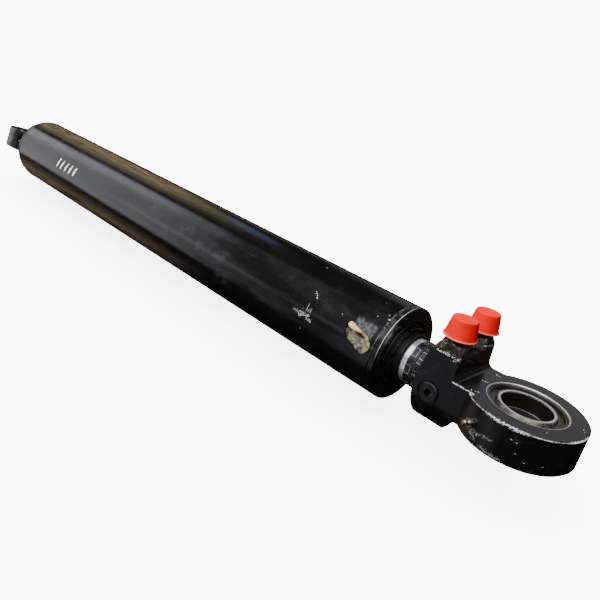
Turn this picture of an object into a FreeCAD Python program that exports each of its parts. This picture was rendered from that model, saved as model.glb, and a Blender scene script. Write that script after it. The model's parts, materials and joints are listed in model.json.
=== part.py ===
import FreeCAD, Part
import math
import os

# Two-stage telescopic hydraulic cylinder, stored closed.
# Millimetres. +X runs from the rear eye to the rod eye, +Z is up, and the origin is the
# centre of the rear eye's pin bore.

V = FreeCAD.Vector
ORIGIN = V(0, 0, 0)
AXIS_X = V(1, 0, 0)
AXIS_Y = V(0, 1, 0)
AXIS_Z = V(0, 0, 1)

# ---- overall ----
CLOSED_LENGTH = 1034.0        # rear pin centre to rod pin centre
REAR_EYE_ROLL = -12.0         # the rear eye stands turned about X against the rod eye
RUNNING = 0.06                # radial clearance of sliding fits
SEAL_FIT = 0.02               # a seal lip stands this far off the surface it wipes
GUIDE_FIT = 0.03              # a guide ring stands this far off the surface it runs on
RING_SIDE_GAP = 0.2           # end clearance of a ring in its groove

# ---- barrel ----
BARREL_R = 54.0
BORE_R = 44.0
REAR_FACE_X = 46.0
REAR_FACE_R = 49.0
CAP_WELD_X = 62.0
CAP_WELD_HALF = 2.0
CAP_WELD_ROOT_R = 50.5
CAP_WELD_CROWN_R = 54.3
CAP_INNER_X = 76.0
SEAM_X = 889.0
HEAD_FACE_X = 897.0
HEAD_INNER_X = 830.0
EDGE_BREAK = 0.9
FACE_BREAK = 1.5              # front edge of the head
# x0, x1 and floor radius of each groove in the head
HEAD_GUIDE = (836.0, 850.0, 37.5)
HEAD_SEAL = (862.0, 871.0, 39.5)
HEAD_WIPER = (890.0, 897.0, 39.0)
HEAD_O_RING = (834.0, 838.0, 41.0)

# ---- lock pocket in the barrel wall ----
POCKET_X = 867.0
POCKET_TILT = 74.5            # turn about X from straight up to the pocket
POCKET_SLANT = -22.0
POCKET_LENGTH = 36.0
POCKET_WIDTH = 17.0
POCKET_FLOOR_R = 48.5
SEALANT_TOP_R = 52.6
SEALANT_HOLE = (22.0, 9.0)    # length and width left open in the middle
SEALANT_HOLE_OFFSET = (1.5, -1.2)
LOCK_SCREW_R = 4.0
LOCK_SCREW_LENGTH = 6.5
LOCK_SCREW_BOTTOM_R = 41.0
LOCK_SCREW_HEX = 4.0
LOCK_SCREW_HEX_DEPTH = 3.0

# ---- sleeve (first stage) ----
SLEEVE_R = 35.0
SLEEVE_BORE_R = 30.0
SLEEVE_PISTON_X = (78.0, 132.0)
SLEEVE_SEAT_X = 90.0
SLEEVE_FEED_R = 22.0
SLEEVE_FRONT_X = 897.0
SLEEVE_GLAND_R = 32.0
SLEEVE_GLAND_X = 850.0
SLEEVE_PISTON_SEAL = (101.0, 109.0, 38.5)
SLEEVE_PISTON_GUIDES = ((81.0, 89.0, 41.3), (120.0, 128.0, 41.3))
SLEEVE_GUIDE = (856.0, 866.0, 27.5)
SLEEVE_SEAL = (874.0, 882.0, 29.3)
SLEEVE_WIPER = (901.5, 909.5, 26.9)
SLEEVE_O_RING = (852.0, 855.0, 30.0)
COLLAR_X = (897.4, 902.0)
COLLAR_R = 33.2
COLLAR_BREAK = 0.7
COLLAR_SLOT = 8.0
COLLAR_SLOTS = 6
COLLAR_TURN = 20.0
NOSE_X = 908.5
NOSE_R = 28.0
NOSE_BREAK = 0.6
SEAL_LIP = 2.5
WIPER_LIP = 2.0
LIP_EDGE = 1.0

# ---- rod (second stage) ----
ROD_R = 25.0
ROD_BORE_R = 15.0
ROD_THREAD_R = 22.0
ROD_SPIGOT_R = 18.0
ROD_TAIL_X = 92.0
ROD_SHOULDER_X = 146.0
ROD_CHROME_END_X = 915.0
ROD_END_X = 948.0
ROD_BORE_START_X = 140.0
ROD_PISTON_X = (106.0, 146.0)
ROD_PISTON_SEAL = (122.0, 130.0, 24.5)
ROD_PISTON_GUIDES = ((109.0, 116.0, 27.4), (136.0, 143.0, 27.4))
PISTON_NUT_X = (94.0, 106.0)
PISTON_NUT_R = 26.0
PISTON_NUT_SLOT = (6.0, 3.5, 5.0)   # width, depth and length
PISTON_NUT_SLOTS = 4
FEED_TUBE_R = 10.0
FEED_TUBE_BORE_R = 7.0
FEED_TUBE_X = (100.0, 964.0)
OIL_HOLE_R = 3.0
OIL_HOLE_X = 152.0
OIL_HOLES = 4

# ---- lock nut and washer ----
LOCK_NUT_X = (915.0, 924.5)
LOCK_NUT_R = 26.0
LOCK_NUT_BREAK = 0.8
LOCK_NUT_SLOT = (9.5, 2.6, 6.5)
LOCK_NUT_SLOTS = 8
WASHER_X = (924.5, 933.5)
WASHER_R = 26.0
WASHER_BREAK = 1.0
WASHER_SLOT = (5.0, 2.2)
WASHER_SLOTS = 12

# ---- rod end block ----
BLOCK_REAR_X = 933.5
BLOCK_FRONT_X = 973.0
BLOCK_HALF_WIDTH = 37.5
BLOCK_TOP_Z = 40.5
BLOCK_LEAN = 0.6              # the front face leans back this much up to the top
BLOCK_UNDER_LEAN = 4.0        # and this much down to the underside
BLOCK_STEP_R = 7.0            # fillet where the block runs down to the eye plate
BLOCK_ROUND_Z = -8.5          # centre height of the half-round underside
BLOCK_NOSE_R = 34.0           # flat left on the turned rear face
BLOCK_CONE_X = 944.5
BLOCK_CONE_R = 57.0
EYE_R = 57.2
EYE_HALF = 19.0
EYE_BREAK = 1.2
ROD_EYE_UNDER_BREAK = 2.0
CHAMBER_R = 15.0
CHAMBER_END_X = 958.0
END_CHAMBER_R = 12.0
END_CHAMBER_X = (964.0, 972.0)
GALLERY_Z = -4.0
PORT_X = 960.0
NEAR_PORT_Y = -25.0
FAR_PORT_Y = 22.5
PORT_R = 6.5
STUB_R = 12.4
STUB_SHOULDER_Z = 54.5
SPIGOT_R = 10.4
SPIGOT_BREAK = 1.5
SPIGOT_TOP_Z = 74.2
# weld bead round a stub: radius and height over the block
BEAD = ((17.6, 0.0), (17.0, 2.8), (15.6, 6.2), (14.2, 9.5), (13.2, 12.0), (12.4, 12.6))
BEAD_OVERHANG = 1.2

# ---- plugs in the ends of the cross drillings ----
# x, side of the block, drilling radius, thread radius, head radius, head height, socket size
NEAR_PLUG = (954.0, -1, 5.0, 8.3, 10.2, 3.0, 8.0)
FAR_PLUG = (966.5, 1, 4.5, 5.0, 7.0, 2.4, 5.0)
PLUG_DEPTH = 8.0
PLUG_SOCKET_DEPTH = 6.0
PLUG_BREAK = 0.7
SPOT_FACE_DEPTH = 1.6
SPOT_FACE_RIM = 2.0

# ---- port caps ----
CAP_RIM_Z = 57.5
CAP_RIM_R = 16.9
CAP_RIM_HEIGHT = 1.8
CAP_LOW_R = 15.7
CAP_TOP_R = 12.6
CAP_TOP_Z = 77.5
CAP_TOP_BREAK = 1.0
CAP_ROOF = 2.2
CAP_WALL = 1.5

# ---- spherical plain bearings ----
PIN_R = 25.0
SPHERE_R = 33.0
INNER_HALF = 17.5
OUTER_R = 37.5
OUTER_HALF = 14.0
CIRCLIP_THICK = 2.4
CIRCLIP_GROOVE_R = 39.5
CIRCLIP_INNER_R = 35.6
CIRCLIP_GAP = 13.0
CIRCLIP_TURN = 129.0          # from an opening toward -X
CIRCLIP_EAR_R = 3.4
CIRCLIP_EAR_AT_R = 35.0
CIRCLIP_EYE_R = 1.3
CIRCLIP_SLACK = 0.05
SEAT_BREAK = 1.1

# ---- rear eye ----
REAR_EYE_R = 46.0
REAR_EYE_HALF = 18.0
REAR_NECK_HALF = 30.0
REAR_WELD = 5.0

# ---- grease nipples ----
NIPPLE_THREAD_R = 3.0
NIPPLE_SUNK = 6.0
GREASE_HOLE_R = 1.5
NIPPLE_HEX = 8.0
NIPPLE_HEX_Z = (0.4, 4.0)
REAR_NIPPLE_ANGLE = -50.0
ROD_NIPPLE_ANGLE = -116.0


def turned(profile):
    """Solid of revolution about X from (x, radius) corners."""
    points = [V(x, 0, r) for x, r in profile]
    points.append(points[0])
    face = Part.Face(Part.makePolygon(points))
    return face.revolve(ORIGIN, AXIS_X, 360)


def turned_z(profile):
    """Solid of revolution about Z from (radius, z) corners."""
    points = [V(r, 0, z) for r, z in profile]
    points.append(points[0])
    face = Part.Face(Part.makePolygon(points))
    return face.revolve(ORIGIN, AXIS_Z, 360)


def bar(x0, x1, radius):
    return Part.makeCylinder(radius, x1 - x0, V(x0, 0, 0), AXIS_X)


def ring(x0, x1, inner, outer):
    return bar(x0, x1, outer).cut(bar(x0 - 1, x1 + 1, inner))


def box(x0, x1, y0, y1, z0, z1):
    return Part.makeBox(x1 - x0, y1 - y0, z1 - z0, V(x0, y0, z0))


def moved(shape, x, y=0.0, z=0.0):
    out = shape.copy()
    out.translate(V(x, y, z))
    return out


def turned_about(shape, axis, degrees, centre=ORIGIN):
    out = shape.copy()
    out.rotate(centre, axis, degrees)
    return out


def hex_prism(across_flats, height):
    """Hexagonal prism standing on Z = 0."""
    radius = across_flats / math.sqrt(3)
    corners = [V(radius * math.cos(math.radians(60 * i)), radius * math.sin(math.radians(60 * i)), 0)
               for i in range(7)]
    return Part.Face(Part.makePolygon(corners)).extrude(V(0, 0, height))


def round_slots(x0, x1, inner, outer, width, count):
    """Radial slots spread evenly about X."""
    one = box(x0, x1, -width / 2, width / 2, inner, outer)
    return [turned_about(one, AXIS_X, 360.0 * i / count) for i in range(count)]


def obround(length, width, height):
    """Rounded-end slot shape centred on Z, long side on X, standing on Z = 0."""
    reach = (length - width) / 2
    shape = box(-reach, reach, -width / 2, width / 2, 0, height)
    for side in (-1, 1):
        shape = shape.fuse(Part.makeCylinder(width / 2, height, V(side * reach, 0, 0)))
    return shape.removeSplitter()


def onto_pocket(shape, radius):
    """Stand a shape on the barrel at the pocket, its Z = 0 plane at this radius."""
    out = turned_about(shape, AXIS_Z, POCKET_SLANT)
    out.translate(V(0, 0, radius))
    out.rotate(ORIGIN, AXIS_X, POCKET_TILT)
    out.translate(V(POCKET_X, 0, 0))
    return out


# ---------------- barrel ----------------

def rear_cap():
    weld0 = CAP_WELD_X - CAP_WELD_HALF
    return turned([(REAR_FACE_X, 0), (REAR_FACE_X, REAR_FACE_R), (weld0, BARREL_R),
                   (CAP_WELD_X, CAP_WELD_ROOT_R), (CAP_WELD_X, BORE_R),
                   (CAP_INNER_X, BORE_R), (CAP_INNER_X, 0)])


def rear_cap_weld():
    return turned([(CAP_WELD_X - CAP_WELD_HALF, BARREL_R), (CAP_WELD_X, CAP_WELD_CROWN_R),
                   (CAP_WELD_X + CAP_WELD_HALF, BARREL_R), (CAP_WELD_X, CAP_WELD_ROOT_R)])


def barrel_tube():
    tube = turned([(CAP_WELD_X, BORE_R), (CAP_WELD_X, CAP_WELD_ROOT_R),
                   (CAP_WELD_X + CAP_WELD_HALF, BARREL_R), (SEAM_X - EDGE_BREAK, BARREL_R),
                   (SEAM_X, BARREL_R - EDGE_BREAK), (SEAM_X, BORE_R)])
    pocket = onto_pocket(obround(POCKET_LENGTH, POCKET_WIDTH, BARREL_R), POCKET_FLOOR_R)
    hole = onto_pocket(Part.makeCylinder(LOCK_SCREW_R, BARREL_R), LOCK_SCREW_BOTTOM_R)
    return tube.cut(pocket).cut(hole)


def pocket_sealant():
    """Sealing compound run round the wall of the pocket."""
    height = SEALANT_TOP_R - POCKET_FLOOR_R
    outer = obround(POCKET_LENGTH, POCKET_WIDTH, height)
    inner = obround(SEALANT_HOLE[0], SEALANT_HOLE[1], height + 2)
    inner = moved(inner, SEALANT_HOLE_OFFSET[0], SEALANT_HOLE_OFFSET[1], -1)
    return onto_pocket(outer.cut(inner), POCKET_FLOOR_R)


def head_lock_screw():
    body = Part.makeCylinder(LOCK_SCREW_R, LOCK_SCREW_LENGTH)
    socket = hex_prism(LOCK_SCREW_HEX, LOCK_SCREW_HEX_DEPTH + 1)
    socket = moved(socket, 0, 0, LOCK_SCREW_LENGTH - LOCK_SCREW_HEX_DEPTH)
    return onto_pocket(body.cut(socket), LOCK_SCREW_BOTTOM_R)


def head_gland():
    body = turned([(HEAD_INNER_X, SLEEVE_R + RUNNING), (HEAD_INNER_X, BORE_R), (SEAM_X, BORE_R),
                   (SEAM_X, BARREL_R - EDGE_BREAK), (SEAM_X + EDGE_BREAK, BARREL_R),
                   (HEAD_FACE_X - FACE_BREAK, BARREL_R), (HEAD_FACE_X, BARREL_R - FACE_BREAK),
                   (HEAD_FACE_X, SLEEVE_R + RUNNING)])
    for x0, x1, radius in (HEAD_GUIDE, HEAD_SEAL, HEAD_WIPER):
        body = body.cut(bar(x0, x1, radius))
    x0, x1, radius = HEAD_O_RING
    body = body.cut(ring(x0, x1, radius, BORE_R + 1))
    return body.cut(onto_pocket(Part.makeCylinder(LOCK_SCREW_R, BARREL_R), LOCK_SCREW_BOTTOM_R))


def lip_ring(x0, x1, inner, outer, lip):
    """Seal or wiper whose lip reaches past its body on the +X side."""
    middle = (inner + outer) / 2
    return turned([(x0, inner), (x0, outer), (x1 - lip, outer), (x1 - lip, middle),
                   (x1, inner + LIP_EDGE), (x1, inner)])


# ---------------- rear and rod eyes ----------------

def eye_disc(radius, half, under_break=EYE_BREAK):
    return turned_z([(0, -half), (radius - under_break, -half), (radius, -half + under_break),
                     (radius, half - EYE_BREAK), (radius - EYE_BREAK, half), (0, half)])


def bearing_seat(half):
    """Bore for a bearing, with a circlip groove and a broken edge on either side of it."""
    groove_end = OUTER_HALF + CIRCLIP_THICK + 2 * CIRCLIP_SLACK
    upper = [(OUTER_R, OUTER_HALF), (CIRCLIP_GROOVE_R, OUTER_HALF), (CIRCLIP_GROOVE_R, groove_end),
             (OUTER_R, groove_end), (OUTER_R, half - SEAT_BREAK), (OUTER_R + SEAT_BREAK, half),
             (OUTER_R + SEAT_BREAK, half + 1), (0, half + 1)]
    lower = [(radius, -z) for radius, z in reversed(upper)]
    return turned_z(lower + upper)


def nipple_at(shape, radius, angle):
    """Stand a shape made on Z on the rim of an eye, pointing out at this angle from +X."""
    out = turned_about(shape, AXIS_Y, 90)
    out.translate(V(radius, 0, 0))
    out.rotate(ORIGIN, AXIS_Z, angle)
    return out


def nipple_hole(radius, angle):
    thread = Part.makeCylinder(NIPPLE_THREAD_R, NIPPLE_SUNK + 2, V(0, 0, -NIPPLE_SUNK))
    feed = Part.makeCylinder(GREASE_HOLE_R, radius - OUTER_R + 2, V(0, 0, OUTER_R - radius - 1))
    return nipple_at(thread.fuse(feed), radius, angle)


def grease_nipple(radius, angle):
    stem = turned_z([(0, -NIPPLE_SUNK), (NIPPLE_THREAD_R, -NIPPLE_SUNK), (NIPPLE_THREAD_R, 4.0),
                     (2.2, 5.4), (2.2, 6.6), (3.2, 7.8), (3.2, 9.0), (2.0, 10.4), (0, 10.4)])
    z0, z1 = NIPPLE_HEX_Z
    collar = moved(hex_prism(NIPPLE_HEX, z1 - z0), 0, 0, z0)
    return nipple_at(stem.fuse(collar).removeSplitter(), radius, angle)


def rear_eye():
    neck = box(0, REAR_FACE_X, -REAR_NECK_HALF, REAR_NECK_HALF, -REAR_EYE_HALF, REAR_EYE_HALF)
    body = eye_disc(REAR_EYE_R, REAR_EYE_HALF).fuse(neck).removeSplitter()
    body = body.cut(bearing_seat(REAR_EYE_HALF))
    return body.cut(nipple_hole(REAR_EYE_R, REAR_NIPPLE_ANGLE))


def rear_eye_weld():
    """Fillet weld round the foot of the rear eye."""
    def rectangle(x, grow):
        y = REAR_NECK_HALF + grow
        z = REAR_EYE_HALF + grow
        return Part.makePolygon([V(x, -y, -z), V(x, y, -z), V(x, y, z), V(x, -y, z), V(x, -y, -z)])
    bead = Part.makeLoft([rectangle(REAR_FACE_X, REAR_WELD), rectangle(REAR_FACE_X - REAR_WELD, 0.2)],
                         True)
    foot = box(0, REAR_FACE_X + 1, -REAR_NECK_HALF, REAR_NECK_HALF, -REAR_EYE_HALF, REAR_EYE_HALF)
    return bead.cut(foot).cut(eye_disc(REAR_EYE_R, REAR_EYE_HALF))


def bearing_outer():
    body = Part.makeCylinder(OUTER_R, 2 * OUTER_HALF, V(0, 0, -OUTER_HALF))
    return body.cut(Part.makeSphere(SPHERE_R + RUNNING))


def bearing_inner():
    slab = Part.makeCylinder(SPHERE_R + 5, 2 * INNER_HALF, V(0, 0, -INNER_HALF))
    bore = Part.makeCylinder(PIN_R, 2 * INNER_HALF + 2, V(0, 0, -INNER_HALF - 1))
    return Part.makeSphere(SPHERE_R).common(slab).cut(bore)


def circlip():
    """Internal circlip lying on Z = 0, with an ear on either side of its opening."""
    band = Part.makeCylinder(CIRCLIP_GROOVE_R - 2 * CIRCLIP_SLACK, CIRCLIP_THICK)
    band = band.cut(Part.makeCylinder(CIRCLIP_INNER_R, CIRCLIP_THICK))
    half_gap = CIRCLIP_GAP / 2
    band = band.cut(box(-CIRCLIP_GROOVE_R - 1, 0, -half_gap, half_gap, -1, CIRCLIP_THICK + 1))
    for side in (-1, 1):
        y = side * (half_gap + CIRCLIP_EAR_R)
        centre = V(-math.sqrt(CIRCLIP_EAR_AT_R ** 2 - y ** 2), y, 0)
        band = band.fuse(Part.makeCylinder(CIRCLIP_EAR_R, CIRCLIP_THICK, centre))
        band = band.cut(Part.makeCylinder(CIRCLIP_EYE_R, CIRCLIP_THICK, centre))
    return turned_about(band.removeSplitter(), AXIS_Z, CIRCLIP_TURN)


def circlips():
    upper = moved(circlip(), 0, 0, OUTER_HALF + CIRCLIP_SLACK)
    lower = moved(circlip(), 0, 0, -OUTER_HALF - CIRCLIP_THICK - CIRCLIP_SLACK)
    return Part.makeCompound([upper, lower])


# ---------------- sleeve ----------------

def oil_holes(turn):
    """Drillings spread evenly about X that let oil through a wall."""
    hole = Part.makeCylinder(OIL_HOLE_R, SLEEVE_R + 2, V(OIL_HOLE_X, 0, 0), AXIS_Z)
    return [turned_about(hole, AXIS_X, 360.0 * i / OIL_HOLES + turn) for i in range(OIL_HOLES)]


def sleeve_tube():
    tube = ring(SLEEVE_SEAT_X, SLEEVE_FRONT_X, SLEEVE_BORE_R, SLEEVE_R)
    tube = tube.cut(bar(SLEEVE_GLAND_X, SLEEVE_FRONT_X + 1, SLEEVE_GLAND_R))
    for hole in oil_holes(0):
        tube = tube.cut(hole)
    return tube


def sleeve_piston():
    x0, x1 = SLEEVE_PISTON_X
    body = ring(x0, x1, SLEEVE_FEED_R, BORE_R - RUNNING)
    body = body.cut(bar(SLEEVE_SEAT_X, x1 + 1, SLEEVE_R))
    for g0, g1, radius in (SLEEVE_PISTON_SEAL,) + SLEEVE_PISTON_GUIDES:
        body = body.cut(ring(g0, g1, radius, BORE_R + 1))
    return body


def sleeve_gland():
    bore = ROD_R + RUNNING
    body = turned([(SLEEVE_GLAND_X, bore), (SLEEVE_GLAND_X, SLEEVE_GLAND_R),
                   (COLLAR_X[0], SLEEVE_GLAND_R), (COLLAR_X[0], COLLAR_R),
                   (COLLAR_X[1] - COLLAR_BREAK, COLLAR_R), (COLLAR_X[1], COLLAR_R - COLLAR_BREAK),
                   (COLLAR_X[1], NOSE_R), (NOSE_X - NOSE_BREAK, NOSE_R),
                   (NOSE_X, NOSE_R - NOSE_BREAK), (NOSE_X, bore)])
    for x0, x1, radius in (SLEEVE_GUIDE, SLEEVE_SEAL, SLEEVE_WIPER):
        body = body.cut(bar(x0, x1, radius))
    x0, x1, radius = SLEEVE_O_RING
    body = body.cut(ring(x0, x1, radius, SLEEVE_GLAND_R + 1))
    for slot in round_slots(COLLAR_X[0], COLLAR_X[1] + 1, NOSE_R + 2, COLLAR_R + 1, COLLAR_SLOT,
                            COLLAR_SLOTS):
        body = body.cut(turned_about(slot, AXIS_X, COLLAR_TURN))
    return body


# ---------------- rod ----------------

def rod():
    body = turned([(ROD_TAIL_X, 0), (ROD_TAIL_X, ROD_SPIGOT_R), (ROD_SHOULDER_X, ROD_SPIGOT_R),
                   (ROD_SHOULDER_X, ROD_R), (ROD_CHROME_END_X, ROD_R),
                   (ROD_CHROME_END_X, ROD_THREAD_R), (ROD_END_X, ROD_THREAD_R), (ROD_END_X, 0)])
    body = body.cut(bar(ROD_TAIL_X - 1, FEED_TUBE_X[0], FEED_TUBE_BORE_R))
    body = body.cut(bar(FEED_TUBE_X[0], ROD_BORE_START_X, FEED_TUBE_R))
    body = body.cut(bar(ROD_BORE_START_X, ROD_END_X + 1, ROD_BORE_R))
    for hole in oil_holes(180.0 / OIL_HOLES):
        body = body.cut(hole)
    return body


def rod_piston():
    x0, x1 = ROD_PISTON_X
    body = ring(x0, x1, ROD_SPIGOT_R, SLEEVE_BORE_R - RUNNING)
    for g0, g1, radius in (ROD_PISTON_SEAL,) + ROD_PISTON_GUIDES:
        body = body.cut(ring(g0, g1, radius, SLEEVE_BORE_R + 1))
    return body


def piston_nut():
    x0, x1 = PISTON_NUT_X
    width, depth, length = PISTON_NUT_SLOT
    body = ring(x0, x1, ROD_SPIGOT_R, PISTON_NUT_R)
    for slot in round_slots(x0 - 1, x0 + length, PISTON_NUT_R - depth, PISTON_NUT_R + 1, width,
                            PISTON_NUT_SLOTS):
        body = body.cut(slot)
    return body


def broken_ring(x0, x1, radius, edge):
    """Ring on the rod thread with both outer edges broken."""
    return turned([(x0, ROD_THREAD_R), (x0, radius - edge), (x0 + edge, radius),
                   (x1 - edge, radius), (x1, radius - edge), (x1, ROD_THREAD_R)])


def rod_lock_nut():
    """Round nut with spanner slots open toward the barrel."""
    x0, x1 = LOCK_NUT_X
    width, depth, length = LOCK_NUT_SLOT
    body = broken_ring(x0, x1, LOCK_NUT_R, LOCK_NUT_BREAK)
    for slot in round_slots(x0 - 1, x0 + length, LOCK_NUT_R - depth, LOCK_NUT_R + 1, width,
                            LOCK_NUT_SLOTS):
        body = body.cut(slot)
    return body


def lock_washer():
    x0, x1 = WASHER_X
    width, depth = WASHER_SLOT
    body = broken_ring(x0, x1, WASHER_R, WASHER_BREAK)
    for slot in round_slots(x0 - 1, x1 + 1, WASHER_R - depth, WASHER_R + 1, width, WASHER_SLOTS):
        body = body.cut(slot)
    return body


# ---------------- rod end block ----------------

def step_edges(z_sign, outer_z, lean):
    """Edges of the block's front step on one side of the eye plate, from block to plate."""
    x0 = BLOCK_FRONT_X
    fillet_z = EYE_HALF + BLOCK_STEP_R
    sag = BLOCK_STEP_R * (1 - math.sqrt(0.5))
    corner = V(x0 - lean, 0, outer_z)
    fillet_start = V(x0, 0, z_sign * fillet_z)
    fillet_middle = V(x0 + sag, 0, z_sign * (EYE_HALF + sag))
    fillet_end = V(x0 + BLOCK_STEP_R, 0, z_sign * EYE_HALF)
    return [Part.makeLine(V(BLOCK_REAR_X, 0, outer_z), corner),
            Part.makeLine(corner, fillet_start),
            Part.Arc(fillet_start, fillet_middle, fillet_end).toShape(),
            Part.makeLine(fillet_end, V(CLOSED_LENGTH, 0, z_sign * EYE_HALF))]


def block_profile():
    """Side view of the block and eye plate, drawn in XZ and spread to full width."""
    bottom_z = BLOCK_ROUND_Z - BLOCK_HALF_WIDTH - 1
    edges = step_edges(1, BLOCK_TOP_Z, BLOCK_LEAN) + step_edges(-1, bottom_z, BLOCK_UNDER_LEAN)
    edges.append(Part.makeLine(V(CLOSED_LENGTH, 0, EYE_HALF), V(CLOSED_LENGTH, 0, -EYE_HALF)))
    edges.append(Part.makeLine(V(BLOCK_REAR_X, 0, BLOCK_TOP_Z), V(BLOCK_REAR_X, 0, bottom_z)))
    outline = Part.Wire(Part.__sortEdges__(edges))
    side = Part.Face(outline).extrude(V(0, 2 * BLOCK_HALF_WIDTH, 0))
    side.translate(V(0, -BLOCK_HALF_WIDTH, 0))
    return side


def block_section():
    """End view: flat sides and top, half-round underside."""
    upper = box(BLOCK_REAR_X, CLOSED_LENGTH, -BLOCK_HALF_WIDTH, BLOCK_HALF_WIDTH,
                BLOCK_ROUND_Z, BLOCK_TOP_Z)
    lower = moved(bar(BLOCK_REAR_X, CLOSED_LENGTH, BLOCK_HALF_WIDTH), 0, 0, BLOCK_ROUND_Z)
    return upper.fuse(lower).removeSplitter()


def rod_end_block():
    turned_rear = turned([(BLOCK_REAR_X, 0), (BLOCK_REAR_X, BLOCK_NOSE_R),
                          (BLOCK_CONE_X, BLOCK_CONE_R), (CLOSED_LENGTH + EYE_R + 1, BLOCK_CONE_R),
                          (CLOSED_LENGTH + EYE_R + 1, 0)])
    body = block_profile().common(block_section()).common(turned_rear)
    body = body.fuse(on_rod_eye(eye_disc(EYE_R, EYE_HALF, ROD_EYE_UNDER_BREAK))).removeSplitter()
    body = body.cut(on_rod_eye(bearing_seat(EYE_HALF)))
    body = body.cut(on_rod_eye(nipple_hole(EYE_R, ROD_NIPPLE_ANGLE)))
    body = body.cut(bar(BLOCK_REAR_X - 1, ROD_END_X, ROD_THREAD_R))
    body = body.cut(bar(ROD_END_X, CHAMBER_END_X, CHAMBER_R))
    body = body.cut(bar(CHAMBER_END_X, END_CHAMBER_X[0], FEED_TUBE_R))
    body = body.cut(bar(END_CHAMBER_X[0], END_CHAMBER_X[1], END_CHAMBER_R))
    for port_y in (NEAR_PORT_Y, FAR_PORT_Y):
        foot = V(PORT_X, port_y, GALLERY_Z - PORT_R / 2)
        body = body.cut(Part.makeCylinder(PORT_R, BLOCK_TOP_Z + 1 - foot.z, foot))
    for plug in (NEAR_PLUG, FAR_PLUG):
        body = body.cut(plug_cavity(plug))
    return body


def facing_side(shape, x, side):
    """Take a shape made on Z = 0, pointing up, to a side face of the block."""
    out = turned_about(shape, AXIS_X, -90 * side)
    out.translate(V(x, side * (BLOCK_HALF_WIDTH - SPOT_FACE_DEPTH), GALLERY_Z))
    return out


def plug_cavity(plug):
    x, side, drill_r, thread_r, head_r = plug[:5]
    spot = Part.makeCylinder(head_r + SPOT_FACE_RIM, SPOT_FACE_DEPTH + 1)
    thread = Part.makeCylinder(thread_r, PLUG_DEPTH + 1, V(0, 0, -PLUG_DEPTH - 1))
    depth = BLOCK_HALF_WIDTH - SPOT_FACE_DEPTH
    drilling = Part.makeCylinder(drill_r, depth, V(0, 0, -depth))
    return facing_side(spot.fuse(thread).fuse(drilling), x, side)


def gallery_plug(plug):
    x, side, _, thread_r, head_r, head_h, across_flats = plug
    body = turned_z([(0, -PLUG_DEPTH), (thread_r, -PLUG_DEPTH), (thread_r, 0), (head_r, 0),
                     (head_r, head_h - PLUG_BREAK), (head_r - PLUG_BREAK, head_h), (0, head_h)])
    socket = hex_prism(across_flats, PLUG_SOCKET_DEPTH + 1)
    return facing_side(body.cut(moved(socket, 0, 0, head_h - PLUG_SOCKET_DEPTH)), x, side)


def port_stub(port_y):
    stub = turned_z([(PORT_R, BLOCK_TOP_Z), (STUB_R, BLOCK_TOP_Z), (STUB_R, STUB_SHOULDER_Z),
                     (SPIGOT_R, STUB_SHOULDER_Z), (SPIGOT_R, SPIGOT_TOP_Z - SPIGOT_BREAK),
                     (SPIGOT_R - SPIGOT_BREAK, SPIGOT_TOP_Z), (PORT_R, SPIGOT_TOP_Z)])
    return moved(stub, PORT_X, port_y)


def port_weld(port_y):
    """Weld bead round a stub, trimmed where it runs off the top of the block."""
    corners = [(radius, BLOCK_TOP_Z + height) for radius, height in BEAD]
    bead = turned_z([(STUB_R, BLOCK_TOP_Z)] + corners)
    reach = BLOCK_HALF_WIDTH + BEAD_OVERHANG
    front = BLOCK_FRONT_X - BLOCK_LEAN + BEAD_OVERHANG
    room = box(BLOCK_CONE_X, front, -reach, reach, BLOCK_TOP_Z, STUB_SHOULDER_Z)
    return moved(bead, PORT_X, port_y).common(room)


def port_cap(port_y):
    """Hollow tapered cap with a thin rim, open downward."""
    cap = turned_z([(CAP_LOW_R - CAP_WALL, CAP_RIM_Z), (CAP_RIM_R, CAP_RIM_Z),
                    (CAP_RIM_R, CAP_RIM_Z + CAP_RIM_HEIGHT), (CAP_LOW_R, CAP_RIM_Z + CAP_RIM_HEIGHT),
                    (CAP_TOP_R, CAP_TOP_Z - CAP_TOP_BREAK), (CAP_TOP_R - CAP_TOP_BREAK, CAP_TOP_Z),
                    (0, CAP_TOP_Z), (0, CAP_TOP_Z - CAP_ROOF),
                    (CAP_TOP_R - CAP_WALL, CAP_TOP_Z - CAP_ROOF)])
    return moved(cap, PORT_X, port_y)


def on_rear_eye(shape):
    return turned_about(shape, AXIS_X, REAR_EYE_ROLL)


def on_rod_eye(shape):
    return moved(shape, CLOSED_LENGTH)


def groove_ring(groove, outer):
    """Ring that fills a groove cut into the outside of a piece."""
    x0, x1, radius = groove
    return ring(x0 + RING_SIDE_GAP, x1 - RING_SIDE_GAP, radius, outer)


def groove_rings(grooves, outer):
    return Part.makeCompound([groove_ring(groove, outer) for groove in grooves])


def bore_ring(groove, inner):
    """Ring that fills a groove cut into the bore of a piece."""
    x0, x1, radius = groove
    return ring(x0 + RING_SIDE_GAP, x1 - RING_SIDE_GAP, inner, radius)


def bore_seal(groove, inner, lip):
    x0, x1, radius = groove
    return lip_ring(x0 + RING_SIDE_GAP, x1 - RING_SIDE_GAP, inner, radius, lip)


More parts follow.
